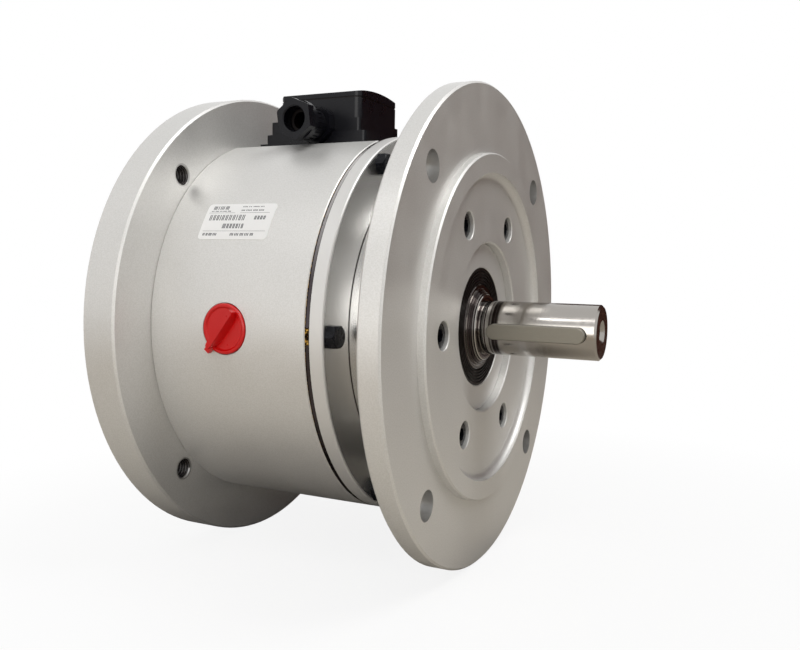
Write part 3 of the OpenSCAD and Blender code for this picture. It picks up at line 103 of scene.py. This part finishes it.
# Threads: radius of the drawn wall, pitch and depth, then where they start and how long they run
TAPPED_CORE_R, TAPPED_PITCH, TAPPED_DEPTH = 5.1 * MM, 1.75 * MM, 0.55 * MM
TAPPED_START = INPUT_BACK + 0.6 * MM
TAPPED_LENGTH = INPUT_FRONT - INPUT_BACK - 2.6 * MM
SHAFT_TAP_R, SHAFT_TAP_PITCH, SHAFT_TAP_DEPTH = 4.25 * MM, 1.5 * MM, 0.4 * MM
SHAFT_TAP_START = 40 * MM
SHAFT_TAP_LENGTH = 16 * MM

# Section of a thread's ridge: share of the pitch and share of the depth, where the first and the last face
# are the root. Then the steps of a turn, and how far the root stays off the drawn wall.
THREAD_PROFILE = ((0.0, 0.0), (0.28, 0.0), (0.62, 1.0), (0.72, 1.0), (1.0, 0.0))
THREAD_STEPS = 40
THREAD_LIFT = 0.01 * MM

# Label: its middle along the shaft and in degrees from the top, its size along and round the housing, the
# radius of its face, and how far the print stands off it and how finely the print bends with it
LABEL_X = -98 * MM
LABEL_ANGLE = 58.6
LABEL_SIZE = (40 * MM, 20.4 * MM)
LABEL_TOP_R = HOUSING_R + 0.15 * MM
PRINT_LIFT = 0.02 * MM
PRINT_FACET = 0.8 * MM

# Print in millimetres from the label's top left. Rules: left, top and width.
RULE_HEIGHT = 0.14
LABEL_RULES = ((1.6, 5.4, 15.5), (20.2, 5.4, 17.0), (1.6, 15.8, 36.6))

# Words, each a run of upright strokes: left, top, length of each word, height and space between words
STROKE_WIDTH = 0.45
STROKE_PITCH = 1.7 * STROKE_WIDTH
LABEL_WORDS = (
    (3.4, 1.4, (2.2, 0.8, 2.6, 2.2), 2.1, 0.5),
    (2.8, 4.2, (1.8, 2.4, 1.4, 2.2, 2.0), 0.6, 0.45),
    (20.4, 1.5, (3.0, 1.9, 3.6, 2.4), 0.6, 0.6),
    (20.4, 3.6, (2.2, 3.4, 2.8, 3.0), 0.8, 0.6),
    (3.2, 6.7, (1.7, 1.5, 1.5, 0.7, 1.6, 1.6, 1.7, 1.6, 0.9, 1.5, 1.8), 3.2, 0.5),
    (29.6, 7.3, (1.3, 1.2, 1.3, 1.3), 2.2, 0.45),
    (12.6, 11.8, (2.0, 1.3, 1.3, 1.3, 1.3, 0.8, 1.3), 2.6, 0.5),
    (2.4, 17.0, (1.4, 1.2, 2.0, 2.4), 1.4, 0.5),
    (18.6, 17.0, (2.2, 2.6, 2.2, 2.6, 2.0), 1.4, 0.5),
)

# Soft lamps aimed at the unit: name, place, size, power and colour
LAMP_TARGET = (-0.06, 0, 0)
LAMPS = (
    ("key_window", (0.1, -1.2, 1.5), (0.9, 0.7), 4.4, (0.99, 0.99, 1.0)),
    ("side_window", (-0.55, -1.1, 1.4), (0.35, 0.22), 1.4, (1.0, 1.0, 1.0)),
    ("top_window", (0.9, 0.1, 1.6), (0.8, 0.8), 17, (1.0, 1.0, 0.99)),
    ("front_window", (0.3, -1.7, 0.5), (1.6, 0.9), 10.3, (1.0, 0.99, 0.97)),
    ("low_window", (-0.1, -1.7, 0.0), (1.6, 0.2), 2.6, (1.0, 0.97, 0.93)),
)

# Floor under the flanges: half its width, its colour for light and for the camera, and a dark patch of
# painted shade, in the light it throws back and in reflections, that only the housing's underside is near
FLOOR_Z = -FLANGE_R
FLOOR_HALF = 4.0
FLOOR_COLOUR = srgb(212, 204, 190)
FLOOR_SEEN_COLOUR = srgb(246, 246, 245)
SHADE_PATCH_COLOUR = srgb(44, 36, 32)
SHADE_PATCH_MIDDLE = (-105 * MM, 0, FLOOR_Z)
SHADE_PATCH_DARK_R, SHADE_PATCH_END_R = 0.08, 0.15

# The floor runs into white with the distance from the origin: from where to where, and the share of white
# that it starts with, for the camera. Then from where to where in reflections, which start with none.
FLOOR_WHITE_FROM, FLOOR_WHITE_TO, FLOOR_WHITE_SHARE = 0.14, 0.40, 0.86
FLOOR_MIRROR_FROM, FLOOR_MIRROR_TO = 0.5, 1.8

# Cards outside the view that polished faces mirror: name, place, target, size and colour
CARDS = (
    ("wall_card", (0.40, 0.75, 0.18), (0, 0, 0.05), (1.5, 0.9), srgb(84, 46, 34)),
    ("bench_card", (-0.50, -0.75, FLOOR_Z + 0.002), (-0.50, -0.75, 1), (1.3, 1.0), srgb(216, 202, 182)),
)

# Brightness of a card's darker clouds
CARD_SHADE = 0.8

# Noise values lie mostly between these
NOISE_LOW, NOISE_HIGH = 0.3, 0.7

# World: strength and colour of the light that surfaces scatter, and of what the camera and reflections see
WORLD_LIGHT = (0.15, (0.96, 0.98, 1.0, 1))
WORLD_SEEN = (1.0, (1, 1, 1, 1))


class Shader:
    """A Principled material that is built node by node."""

    def __init__(self, name, colour, metallic=0.0, rough=0.5, **sockets):
        self.material = bpy.data.materials.new(name)
        self.material.use_nodes = True
        self.tree = self.material.node_tree
        self.bsdf = self.tree.nodes["Principled BSDF"]
        self.colour = colour
        self.rough = rough
        self.set("Base Color", colour)
        self.set("Metallic", metallic)
        self.set("Roughness", rough)
        for socket, value in sockets.items():
            self.set(socket.replace("_", " "), value)
        self.place = self.node("ShaderNodeTexCoord").outputs["Object"]
        self.normal = None

    def set(self, socket, value):
        self.bsdf.inputs[socket].default_value = value

    def node(self, kind, **values):
        """New node, with each value set on its property or else its input of that name."""
        made = self.tree.nodes.new(kind)
        for key, value in values.items():
            if hasattr(made, key):
                setattr(made, key, value)
            else:
                made.inputs[key].default_value = value
        return made

    def link(self, source, target):
        self.tree.links.new(source, target)

    def math(self, operation, *values):
        """Math node on sockets or numbers."""
        made = self.node("ShaderNodeMath", operation=operation)
        for socket, value in zip(made.inputs, values):
            if isinstance(value, (int, float)):
                socket.default_value = value
            else:
                self.link(value, socket)
        return made.outputs[0]

    def span(self, value, low, high, start=0.0, end=1.0):
        """Value mapped from start..end to low..high."""
        made = self.node("ShaderNodeMapRange")
        for key, number in (("From Min", start), ("From Max", end), ("To Min", low), ("To Max", high)):
            made.inputs[key].default_value = number
        self.link(value, made.inputs["Value"])
        return made.outputs["Result"]

    def rising(self, value, start, end):
        """Share that goes from 0 to 1 as a value goes from start to end."""
        return self.span(value, 0.0, 1.0, start, end)

    def falling(self, value, start, end):
        """Share that goes from 1 to 0 as a value goes from start to end."""
        return self.span(value, 1.0, 0.0, start, end)

    def off(self, value, target):
        """How far a value is from a number, either way."""
        return self.math("ABSOLUTE", self.math("SUBTRACT", value, target))

    def coordinates(self):
        """The three object coordinates."""
        split = self.node("ShaderNodeSeparateXYZ")
        self.link(self.place, split.inputs[0])
        return split.outputs["X"], split.outputs["Y"], split.outputs["Z"]

    def length(self, a, b):
        """Length of a line that goes a one way and b across."""
        squares = [self.math("MULTIPLY", side, side) for side in (a, b)]
        return self.math("SQRT", self.math("ADD", *squares))

    def along_and_out(self):
        """Distance along the shaft axis and distance out from it."""
        x, y, z = self.coordinates()
        return x, self.length(y, z)

    def from_flange_hole(self):
        """Distance from the axis of the nearest of a flange's four holes."""
        side = HOLE_CIRCLE_R * math.sqrt(0.5)
        _, y, z = self.coordinates()
        return self.length(*(self.math("SUBTRACT", self.math("ABSOLUTE", v), side) for v in (y, z)))

    def noise(self, scale, detail, rough=0.55, stretch=None):
        made = self.node("ShaderNodeTexNoise", Scale=scale, Detail=detail, Roughness=rough)
        source = self.place
        if stretch:
            mapping = self.node("ShaderNodeMapping", Scale=stretch)
            self.link(self.place, mapping.inputs["Vector"])
            source = mapping.outputs["Vector"]
        self.link(source, made.inputs["Vector"])
        return made.outputs["Fac"]

    def turning(self, scale, detail=2.0):
        """Turning marks: uneven rings that stay the same all round the shaft axis."""
        along, out = self.along_and_out()
        both = self.node("ShaderNodeCombineXYZ")
        self.link(along, both.inputs["X"])
        self.link(out, both.inputs["Y"])
        made = self.node("ShaderNodeTexNoise", Scale=scale, Detail=detail)
        self.link(both.outputs["Vector"], made.inputs["Vector"])
        return made.outputs["Fac"]

    def vary_rough(self, value, spread):
        """Roughness that goes up and down by the spread with a noise value."""
        rough = self.span(value, self.rough - spread, self.rough + spread, NOISE_LOW, NOISE_HIGH)
        self.link(rough, self.bsdf.inputs["Roughness"])

    def mix_colour(self, share, other):
        """Mixes in a share of another colour, over what the colour is so far."""
        mix = self.node("ShaderNodeMix", data_type="RGBA")
        mix.inputs["A"].default_value = self.colour
        for before in self.bsdf.inputs["Base Color"].links:
            self.link(before.from_socket, mix.inputs["A"])
        mix.inputs["B"].default_value = other
        self.link(share, mix.inputs["Factor"])
        self.link(mix.outputs["Result"], self.bsdf.inputs["Base Color"])

    def vary_colour(self, value, other, start=0.35, end=0.65):
        """Mixes in another colour as a value goes from start to end."""
        self.mix_colour(self.rising(value, start, end), other)

    def bump(self, height, depth, strength):
        """Adds relief of the given depth in millimetres."""
        made = self.node("ShaderNodeBump", Strength=strength, Distance=depth * MM)
        self.link(height, made.inputs["Height"])
        if self.normal is not None:
            self.link(self.normal, made.inputs["Normal"])
        self.normal = made.outputs["Normal"]
        self.link(self.normal, self.bsdf.inputs["Normal"])

    def radial_tangent(self):
        """Streaks of an anisotropic gloss run round the shaft axis."""
        tangent = self.node("ShaderNodeTangent", direction_type="RADIAL", axis="X")
        self.link(tangent.outputs["Tangent"], self.bsdf.inputs["Tangent"])


def satin_aluminium():
    """Fine blasted and anodised surface of housing and flanges, with bare walls in the drilled holes darkened
    by painted shade.
    """
    s = Shader("satin_aluminium", srgb(214, 213, 211), metallic=0.5, rough=0.43)
    s.vary_rough(s.noise(45, 3), spread=0.05)
    s.vary_colour(s.noise(1500, 3, rough=0.7), srgb(205, 204, 201), start=0.4, end=0.6)
    along = s.coordinates()[0]
    edge_r = s.span(along, TAPPED_EDGE_R, THROUGH_EDGE_R, INPUT_FRONT, SHIELD_FACE_X)
    past_edge = s.math("SUBTRACT", s.from_flange_hole(), edge_r)
    # painted shade: the wall of each drilled hole gets a darker colour, and more metallic gloss for its bare
    # metal
    drilled = s.falling(past_edge, 0.0, HOLE_FADE)
    s.mix_colour(drilled, srgb(176, 175, 173))
    s.link(s.span(drilled, low=0.5, high=0.95), s.bsdf.inputs["Metallic"])
    s.bump(s.noise(2600, 3, rough=0.7), depth=0.03, strength=0.7)
    s.bump(s.noise(600, 2), depth=0.02, strength=0.3)
    return s.material


def turned_aluminium():
    """End shield: satin outside, with a bright turned face between boss and rim and a line of painted shade
    in the corner at the neck.
    """
    s = Shader("turned_aluminium", srgb(210, 209, 207), metallic=0.45, rough=0.44)
    along, out = s.along_and_out()
    middle, half = (HOUSING_R + BOSS_R) / 2, (HOUSING_R - BOSS_R) / 2
    bright = s.falling(s.off(out, middle), half - BRIGHT_MARGIN_FROM, half - BRIGHT_MARGIN_TO)
    s.link(s.span(bright, low=0.45, high=0.95), s.bsdf.inputs["Metallic"])
    s.link(s.span(bright, low=0.44, high=0.24), s.bsdf.inputs["Roughness"])
    s.link(s.math("MULTIPLY", bright, 0.7), s.bsdf.inputs["Anisotropic"])
    s.radial_tangent()
    # painted shade: a dark line in the corner where the neck meets the face
    from_corner = s.math("ADD", s.off(out, NECK_R), s.off(along, SHIELD_FACE_X))
    s.vary_colour(from_corner, srgb(92, 86, 84), NECK_SHADE_FROM, NECK_SHADE_TO)
    s.bump(s.turning(1100), depth=0.01, strength=0.5)
    s.bump(s.noise(2200, 2, rough=0.6), depth=0.02, strength=0.4)
    return s.material


def bright_steel():
    """Ground shaft with faint marks round it, and rings of painted dark reflection on its steps near the
    seal.
    """
    s = Shader("bright_shaft_steel", srgb(166, 162, 157), metallic=1.0, rough=0.15, Anisotropic=0.45)
    s.vary_rough(s.noise(90, 4, stretch=(5, 1, 1)), spread=0.05)
    along = s.coordinates()[0]
    # painted reflection: dark rings, as if the steps near the seal mirror the black seal
    root = s.falling(along, SHAFT_ROOT_X, SHAFT_ROOT_X + SHAFT_ROOT_FADE)
    rings = s.falling(s.turning(1300, detail=1.0), start=0.45, end=0.62)
    s.mix_colour(s.math("MULTIPLY", root, rings), srgb(52, 44, 44))
    s.bump(s.turning(1500), depth=0.006, strength=0.7)
    s.bump(s.noise(160, 3, stretch=(4, 1, 1)), depth=0.02, strength=0.35)
    s.radial_tangent()
    return s.material


def key_steel():
    """Drawn key steel with marks along it."""
    s = Shader("key_steel", srgb(128, 124, 114), metallic=0.7, rough=0.5)
    s.vary_rough(s.noise(500, 3, stretch=(1, 8, 8)), spread=0.08)
    s.bump(s.noise(1800, 3, stretch=(1, 6, 6)), depth=0.015, strength=0.5)
    return s.material


def bearing_steel():
    s = Shader("bearing_steel", srgb(200, 202, 206), metallic=1.0, rough=0.14)
    s.vary_rough(s.noise(300, 3), spread=0.04)
    s.bump(s.turning(1500), depth=0.004, strength=0.5)
    return s.material


def dark_magnet():
    """Iron bodies of the magnets: the rim in view has painted shade at its edges and a painted pale
    reflection on its upper part.
    """
    s = Shader("magnet_iron", srgb(72, 66, 68), metallic=1.0, rough=0.28)
    along, out = s.along_and_out()
    half = MAGNET_RIM_W / 2
    beside = s.rising(s.off(along, MAGNET_RIM_X), half - RIM_GAP_SHADE_FROM, half - RIM_GAP_SHADE_TO)
    outside = s.rising(out, HOUSING_R - RIM_DEPTH_FROM, HOUSING_R - RIM_DEPTH_TO)
    height = s.coordinates()[2]
    # painted reflection: the upper part of the rim is paler, the lower part stays dark
    s.vary_colour(height, srgb(186, 182, 180), RIM_REFLECTION_FROM, RIM_REFLECTION_TO)
    # painted shade: dark edges where the rim meets the gaps beside it
    s.mix_colour(s.math("MULTIPLY", beside, outside), srgb(30, 26, 28))
    s.vary_rough(s.noise(120, 3), spread=0.08)
    s.bump(s.turning(1300), depth=0.01, strength=0.6)
    return s.material


def friction_steel():
    s = Shader("friction_steel", srgb(158, 156, 156), metallic=0.95, rough=0.34)
    s.vary_rough(s.noise(80, 4), spread=0.08)
    s.bump(s.turning(900), depth=0.012, strength=0.6)
    return s.material


def black_steel():
    """Blackened screws with a film of oil."""
    s = Shader("black_steel", srgb(11, 12, 16), rough=0.26, IOR=1.25)
    s.vary_colour(s.noise(300, 3), srgb(20, 21, 26))
    s.vary_rough(s.noise(400, 3), spread=0.08)
    s.bump(s.noise(1500, 3), depth=0.02, strength=0.4)
    return s.material


def brass():
    """Brass with dark stains."""
    s = Shader("brass", srgb(190, 150, 74), metallic=1.0, rough=0.3)
    s.vary_colour(s.noise(1100, 3), srgb(38, 26, 12), start=0.42, end=0.52)
    s.vary_rough(s.noise(300, 3), spread=0.08)
    s.bump(s.noise(1200, 2), depth=0.01, strength=0.4)
    return s.material


def coil_winding():
    s = Shader("coil_winding", srgb(150, 84, 44), metallic=0.35, rough=0.4)
    s.vary_colour(s.noise(200, 3), srgb(120, 62, 30))
    s.bump(s.turning(1000), depth=0.15, strength=0.8)
    return s.material


def friction_lining():
    s = Shader("friction_lining", srgb(88, 76, 64), rough=0.8)
    s.vary_colour(s.noise(900, 5, rough=0.7), srgb(120, 100, 72), start=0.5, end=0.7)
    s.bump(s.noise(1400, 4, rough=0.7), depth=0.06, strength=0.8)
    return s.material


def box_plastic():
    """Moulded black plastic of box and gland."""
    s = Shader("box_plastic", srgb(8, 8, 14), rough=0.3, IOR=1.34)
    s.vary_rough(s.noise(70, 3), spread=0.06)
    s.bump(s.noise(1100, 3, rough=0.6), depth=0.03, strength=0.35)
    return s.material


def label_ink():
    s = Shader("label_ink", srgb(42, 44, 50), rough=0.5)
    s.vary_colour(s.noise(2500, 3), srgb(78, 80, 88), start=0.45, end=0.75)
    s.bump(s.noise(900, 2), depth=0.005, strength=0.3)
    return s.material


def even(name, colour, *, gloss, relief, **sockets):
    """Material of one colour all over.

    gloss holds the scale and detail of the noise in its roughness, and the spread of the roughness. relief
    holds the scale and detail of the noise in its height, the depth in millimetres and the strength.
    """
    s = Shader(name, colour, **sockets)
    scale, detail, spread = gloss
    s.vary_rough(s.noise(scale, detail), spread)
    scale, detail, depth, strength = relief
    s.bump(s.noise(scale, detail), depth, strength)
    return s.material


def spring_steel():
    return even("spring_steel", srgb(128, 132, 142), gloss=(150, 3, 0.06), relief=(1200, 2, 0.01, 0.4),
                metallic=1.0, rough=0.28)


def zinc_steel():
    return even("zinc_steel", srgb(186, 188, 192), gloss=(200, 3, 0.06), relief=(900, 2, 0.01, 0.4),
                metallic=1.0, rough=0.3)


def thread_root():
    """Oil and shade in the bottom of the threads."""
    return even("thread_root", srgb(34, 28, 26), gloss=(300, 2, 0.05), relief=(900, 2, 0.01, 0.3),
                metallic=0.4, rough=0.5)


def lead_sleeve():
    return even("lead_sleeve", srgb(172, 36, 30), gloss=(300, 2, 0.05), relief=(800, 2, 0.02, 0.3),
                rough=0.38)


def black_rubber():
    return even("black_rubber", srgb(14, 8, 7), gloss=(200, 3, 0.08), relief=(1400, 3, 0.02, 0.4),
                rough=0.42, IOR=1.28)


def block_plastic():
    return even("block_plastic", srgb(214, 212, 198), gloss=(200, 2, 0.05), relief=(900, 2, 0.02, 0.3),
                rough=0.45)


def knob_plastic():
    """Glossy red plastic with a thin clear film."""
    return even("knob_plastic", srgb(200, 10, 12), gloss=(120, 2, 0.03), relief=(500, 2, 0.02, 0.2),
                rough=0.3, IOR=1.42, Coat_Weight=0.15, Coat_Roughness=0.12)


def label_film():
    return even("label_film", srgb(240, 240, 240), gloss=(200, 2, 0.04), relief=(700, 2, 0.01, 0.3),
                rough=0.35)


MATERIAL_OF_SLOT = {
    "cast_aluminium": satin_aluminium,
    "shaft_steel": bright_steel,
    "key_steel": key_steel,
    "bearing_steel": bearing_steel,
    "black_screw_steel": black_steel,
    "magnet_steel": dark_magnet,
    "friction_disc_steel": friction_steel,
    "spring_steel": spring_steel,
    "zinc_steel": zinc_steel,
    "brass": brass,
    "coil_copper": coil_winding,
    "lead_insulation": lead_sleeve,
    "friction_lining": friction_lining,
    "black_rubber": black_rubber,
    "box_plastic": box_plastic,
    "block_plastic": block_plastic,
    "knob_plastic": knob_plastic,
    "label_film": label_film,
}


def dress_nodes(frame):
    """Gives every CAD node the material of its slot, the end shield its own turned aluminium instead, and
    returns the materials by slot.
    """
    made = {slot: build() for slot, build in MATERIAL_OF_SLOT.items()}
    turned = turned_aluminium()
    for entry in frame["record"]["subparts"]:
        node = frame["nodes"][entry["node"]]
        material = turned if entry["node"] == "end_shield" else made[entry["material_slot"]]
        node.data.materials.clear()
        node.data.materials.append(material)
    return made


def mesh_object(name, verts, faces, material):
    """New object in the scene, made from vertices and faces."""
    mesh = bpy.data.meshes.new(name)
    mesh.from_pydata([tuple(v) for v in verts], [], faces)
    mesh.update()
    obj = bpy.data.objects.new(name, mesh)
    bpy.context.scene.collection.objects.link(obj)
    obj.data.materials.append(material)
    return obj


def thread_ridge(name, place, core_r, length, pitch, depth, materials):
    """Helical ridge inside a hole: crests reach in by depth, and roots lie just inside the drawn wall.

    materials holds the crest's and the root's.
    """
    verts, faces = [], []
    rows = int(length / pitch * THREAD_STEPS)
    for i in range(rows + 1):
        angle = TAU * i / THREAD_STEPS
        start = pitch * i / THREAD_STEPS
        for along, rise in THREAD_PROFILE:
            r = core_r - depth * rise - THREAD_LIFT
            verts.append(place @ Vector((start + along * pitch, r * math.sin(angle), r * math.cos(angle))))
    width = len(THREAD_PROFILE)
    for i in range(rows):
        for j in range(width - 1):
            a = i * width + j
            faces.append((a, a + 1, a + 1 + width, a + width))
    crest, root = materials
    ridge = mesh_object(name, verts, faces, crest)
    ridge.data.materials.append(root)
    for polygon in ridge.data.polygons:
        polygon.use_smooth = True
        if polygon.index % (width - 1) in (0, width - 2):
            polygon.material_index = 1
    return ridge


def add_threads(flange_metal, shaft_metal, root):
    """Threads of the four tapped holes in the input flange and of the shaft's centre hole."""
    for i, angle in enumerate(HOLE_ANGLES):
        place = (Matrix.Rotation(math.radians(angle), 4, "X")
                 @ Matrix.Translation((TAPPED_START, 0, HOLE_CIRCLE_R)))
        ridge = thread_ridge(f"flange_thread_{i + 1}", place, TAPPED_CORE_R, TAPPED_LENGTH, TAPPED_PITCH,
                             TAPPED_DEPTH, (flange_metal, root))
        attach(ridge, "unit")
    place = Matrix.Translation((SHAFT_TAP_START, 0, 0))
    ridge = thread_ridge("shaft_end_thread", place, SHAFT_TAP_R, SHAFT_TAP_LENGTH, SHAFT_TAP_PITCH,
                         SHAFT_TAP_DEPTH, (shaft_metal, root))
    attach(ridge, "output_shaft")


def on_label(u, v):
    """Point of the print: u along the shaft and v up round the housing, from the label's middle."""
    r = LABEL_TOP_R + PRINT_LIFT
    around = math.radians(LABEL_ANGLE) - v / HOUSING_R
    return (LABEL_X + u, -r * math.sin(around), r * math.cos(around))


def label_bars():
    """Bars of the print: left, top, width and height in millimetres from the label's top left."""
    bars = [(left, top, width, RULE_HEIGHT) for left, top, width in LABEL_RULES]
    for left, top, lengths, height, space in LABEL_WORDS:
        for length in lengths:
            strokes = max(1, round(length / STROKE_PITCH))
            bars += [(left + i * length / strokes, top, STROKE_WIDTH, height) for i in range(strokes)]
            left += length + space
    return bars


def label_print(material):
    """Plain bars and rules in place of the label's words, bent round the housing with it."""
    half_u, half_v = LABEL_SIZE[0] / 2, LABEL_SIZE[1] / 2
    verts, faces = [], []
    for left, top, width, height in label_bars():
        u, v = -half_u + left * MM, half_v - (top + height) * MM
        rows = 1 + int(height * MM / PRINT_FACET)
        first = len(verts)
        for i in range(rows + 1):
            up = v + height * MM * i / rows
            verts += [on_label(u, up), on_label(u + width * MM, up)]
        for a in range(first, first + 2 * rows, 2):
            faces.append((a, a + 1, a + 3, a + 2))
    obj = mesh_object("label_print", verts, faces, material)
    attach(obj, "unit")


def area_light(name, place, size, power, colour):
    """Soft rectangular lamp aimed at the unit."""
    data = bpy.data.lights.new(name, "AREA")
    data.shape = "RECTANGLE"
    data.size, data.size_y = size
    data.energy = power
    data.color = colour
    lamp = bpy.data.objects.new(name, data)
    lamp.location = place
    lamp.rotation_mode = "QUATERNION"
    lamp.rotation_quaternion = (Vector(LAMP_TARGET) - Vector(place)).to_track_quat("-Z", "Y")
    bpy.context.scene.collection.objects.link(lamp)


def card(name, place, target, size, colour):
    """Plain card that faces its target and that the camera doesn't see."""
    w, h = size[0] / 2, size[1] / 2
    s = Shader(name, colour, rough=0.9)
    s.vary_colour(s.noise(3, 2), tuple(CARD_SHADE * c for c in colour[:3]) + (1.0,))
    turn = (Vector(target) - Vector(place)).to_track_quat("Z", "Y").to_matrix().to_4x4()
    place = Matrix.Translation(place) @ turn
    verts = [place @ Vector(p) for p in ((-w, -h, 0), (w, -h, 0), (w, h, 0), (-w, h, 0))]
    obj = mesh_object(name, verts, [(0, 1, 2, 3)], s.material)
    obj.visible_camera = False


def add_world():
    """White for the camera and in reflections, and plain soft light for everything else."""
    world = bpy.data.worlds.new("studio_world")
    world.use_nodes = True
    tree = world.node_tree
    tree.nodes.clear()
    out = tree.nodes.new("ShaderNodeOutputWorld")
    path = tree.nodes.new("ShaderNodeLightPath")
    seen = path.outputs["Is Camera Ray"]
    for ray in ("Is Glossy Ray", "Is Transmission Ray"):
        both = tree.nodes.new("ShaderNodeMath")
        both.operation = "MAXIMUM"
        tree.links.new(seen, both.inputs[0])
        tree.links.new(path.outputs[ray], both.inputs[1])
        seen = both.outputs[0]
    mix = tree.nodes.new("ShaderNodeMixShader")
    tree.links.new(seen, mix.inputs["Fac"])
    for i, (strength, colour) in enumerate((WORLD_LIGHT, WORLD_SEEN)):
        background = tree.nodes.new("ShaderNodeBackground")
        background.inputs["Color"].default_value = colour
        background.inputs["Strength"].default_value = strength
        tree.links.new(background.outputs[0], mix.inputs[1 + i])
    tree.links.new(mix.outputs[0], out.inputs["Surface"])
    bpy.context.scene.world = world


def add_floor():
    """Pale floor that keeps the unit's shadow and runs into white further out."""
    s = Shader("pale_floor", FLOOR_COLOUR, rough=0.7)
    path = s.node("ShaderNodeLightPath")

    def distance(point):
        made = s.node("ShaderNodeVectorMath", operation="DISTANCE")
        made.inputs[1].default_value = point
        s.link(s.place, made.inputs[0])
        return made.outputs["Value"]

    # painted shade: a dark patch under the housing in the light the floor throws back; the camera sees the
    # pale colour there
    s.vary_colour(distance(SHADE_PATCH_MIDDLE), SHADE_PATCH_COLOUR, SHADE_PATCH_END_R, SHADE_PATCH_DARK_R)
    s.mix_colour(path.outputs["Is Camera Ray"], FLOOR_SEEN_COLOUR)

    away = distance((0, 0, 0))
    whiter = s.span(away, FLOOR_WHITE_SHARE, 1.0, FLOOR_WHITE_FROM, FLOOR_WHITE_TO)
    seen = s.math("MULTIPLY", whiter, path.outputs["Is Camera Ray"])
    mirrored = s.math("MAXIMUM", path.outputs["Is Glossy Ray"], path.outputs["Is Transmission Ray"])
    mirrored = s.math("MULTIPLY", s.rising(away, FLOOR_MIRROR_FROM, FLOOR_MIRROR_TO), mirrored)
    glow = s.node("ShaderNodeEmission", Color=(1, 1, 1, 1), Strength=1.0)
    mix = s.node("ShaderNodeMixShader")
    s.link(s.math("MAXIMUM", seen, mirrored), mix.inputs["Fac"])
    s.link(s.bsdf.outputs["BSDF"], mix.inputs[1])
    s.link(glow.outputs["Emission"], mix.inputs[2])
    s.link(mix.outputs["Shader"], s.tree.nodes["Material Output"].inputs["Surface"])

    corners = ((-1, -1), (1, -1), (1, 1), (-1, 1))
    verts = [(x * FLOOR_HALF, y * FLOOR_HALF, FLOOR_Z) for x, y in corners]
    floor = mesh_object("floor", verts, [(0, 1, 2, 3)], s.material)


def add_lights():
    """Lamps, and the cards that show in reflections."""
    for row in LAMPS:
        area_light(*row)
    for row in CARDS:
        card(*row)


def add_camera():
    data = bpy.data.cameras.new("camera")
    data.sensor_width = CAMERA_SENSOR
    data.lens = CAMERA_LENS
    camera = bpy.data.objects.new("camera", data)
    look = Vector(CAMERA_LOOK).normalized()
    right = look.cross(Vector(CAMERA_UP)).normalized()
    up = right.cross(look)
    turn = Matrix((right, up, -look)).transposed().to_4x4()
    camera.matrix_world = Matrix.Translation(CAMERA_AT) @ turn
    bpy.context.scene.collection.objects.link(camera)
    bpy.context.scene.camera = camera


def main():
    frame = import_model()
    made = dress_nodes(frame)
    add_threads(made["cast_aluminium"], made["shaft_steel"], thread_root())
    label_print(label_ink())
    add_floor()
    add_world()
    add_lights()
    add_camera()
    bpy.context.scene.view_settings.view_transform = "Standard"


main()
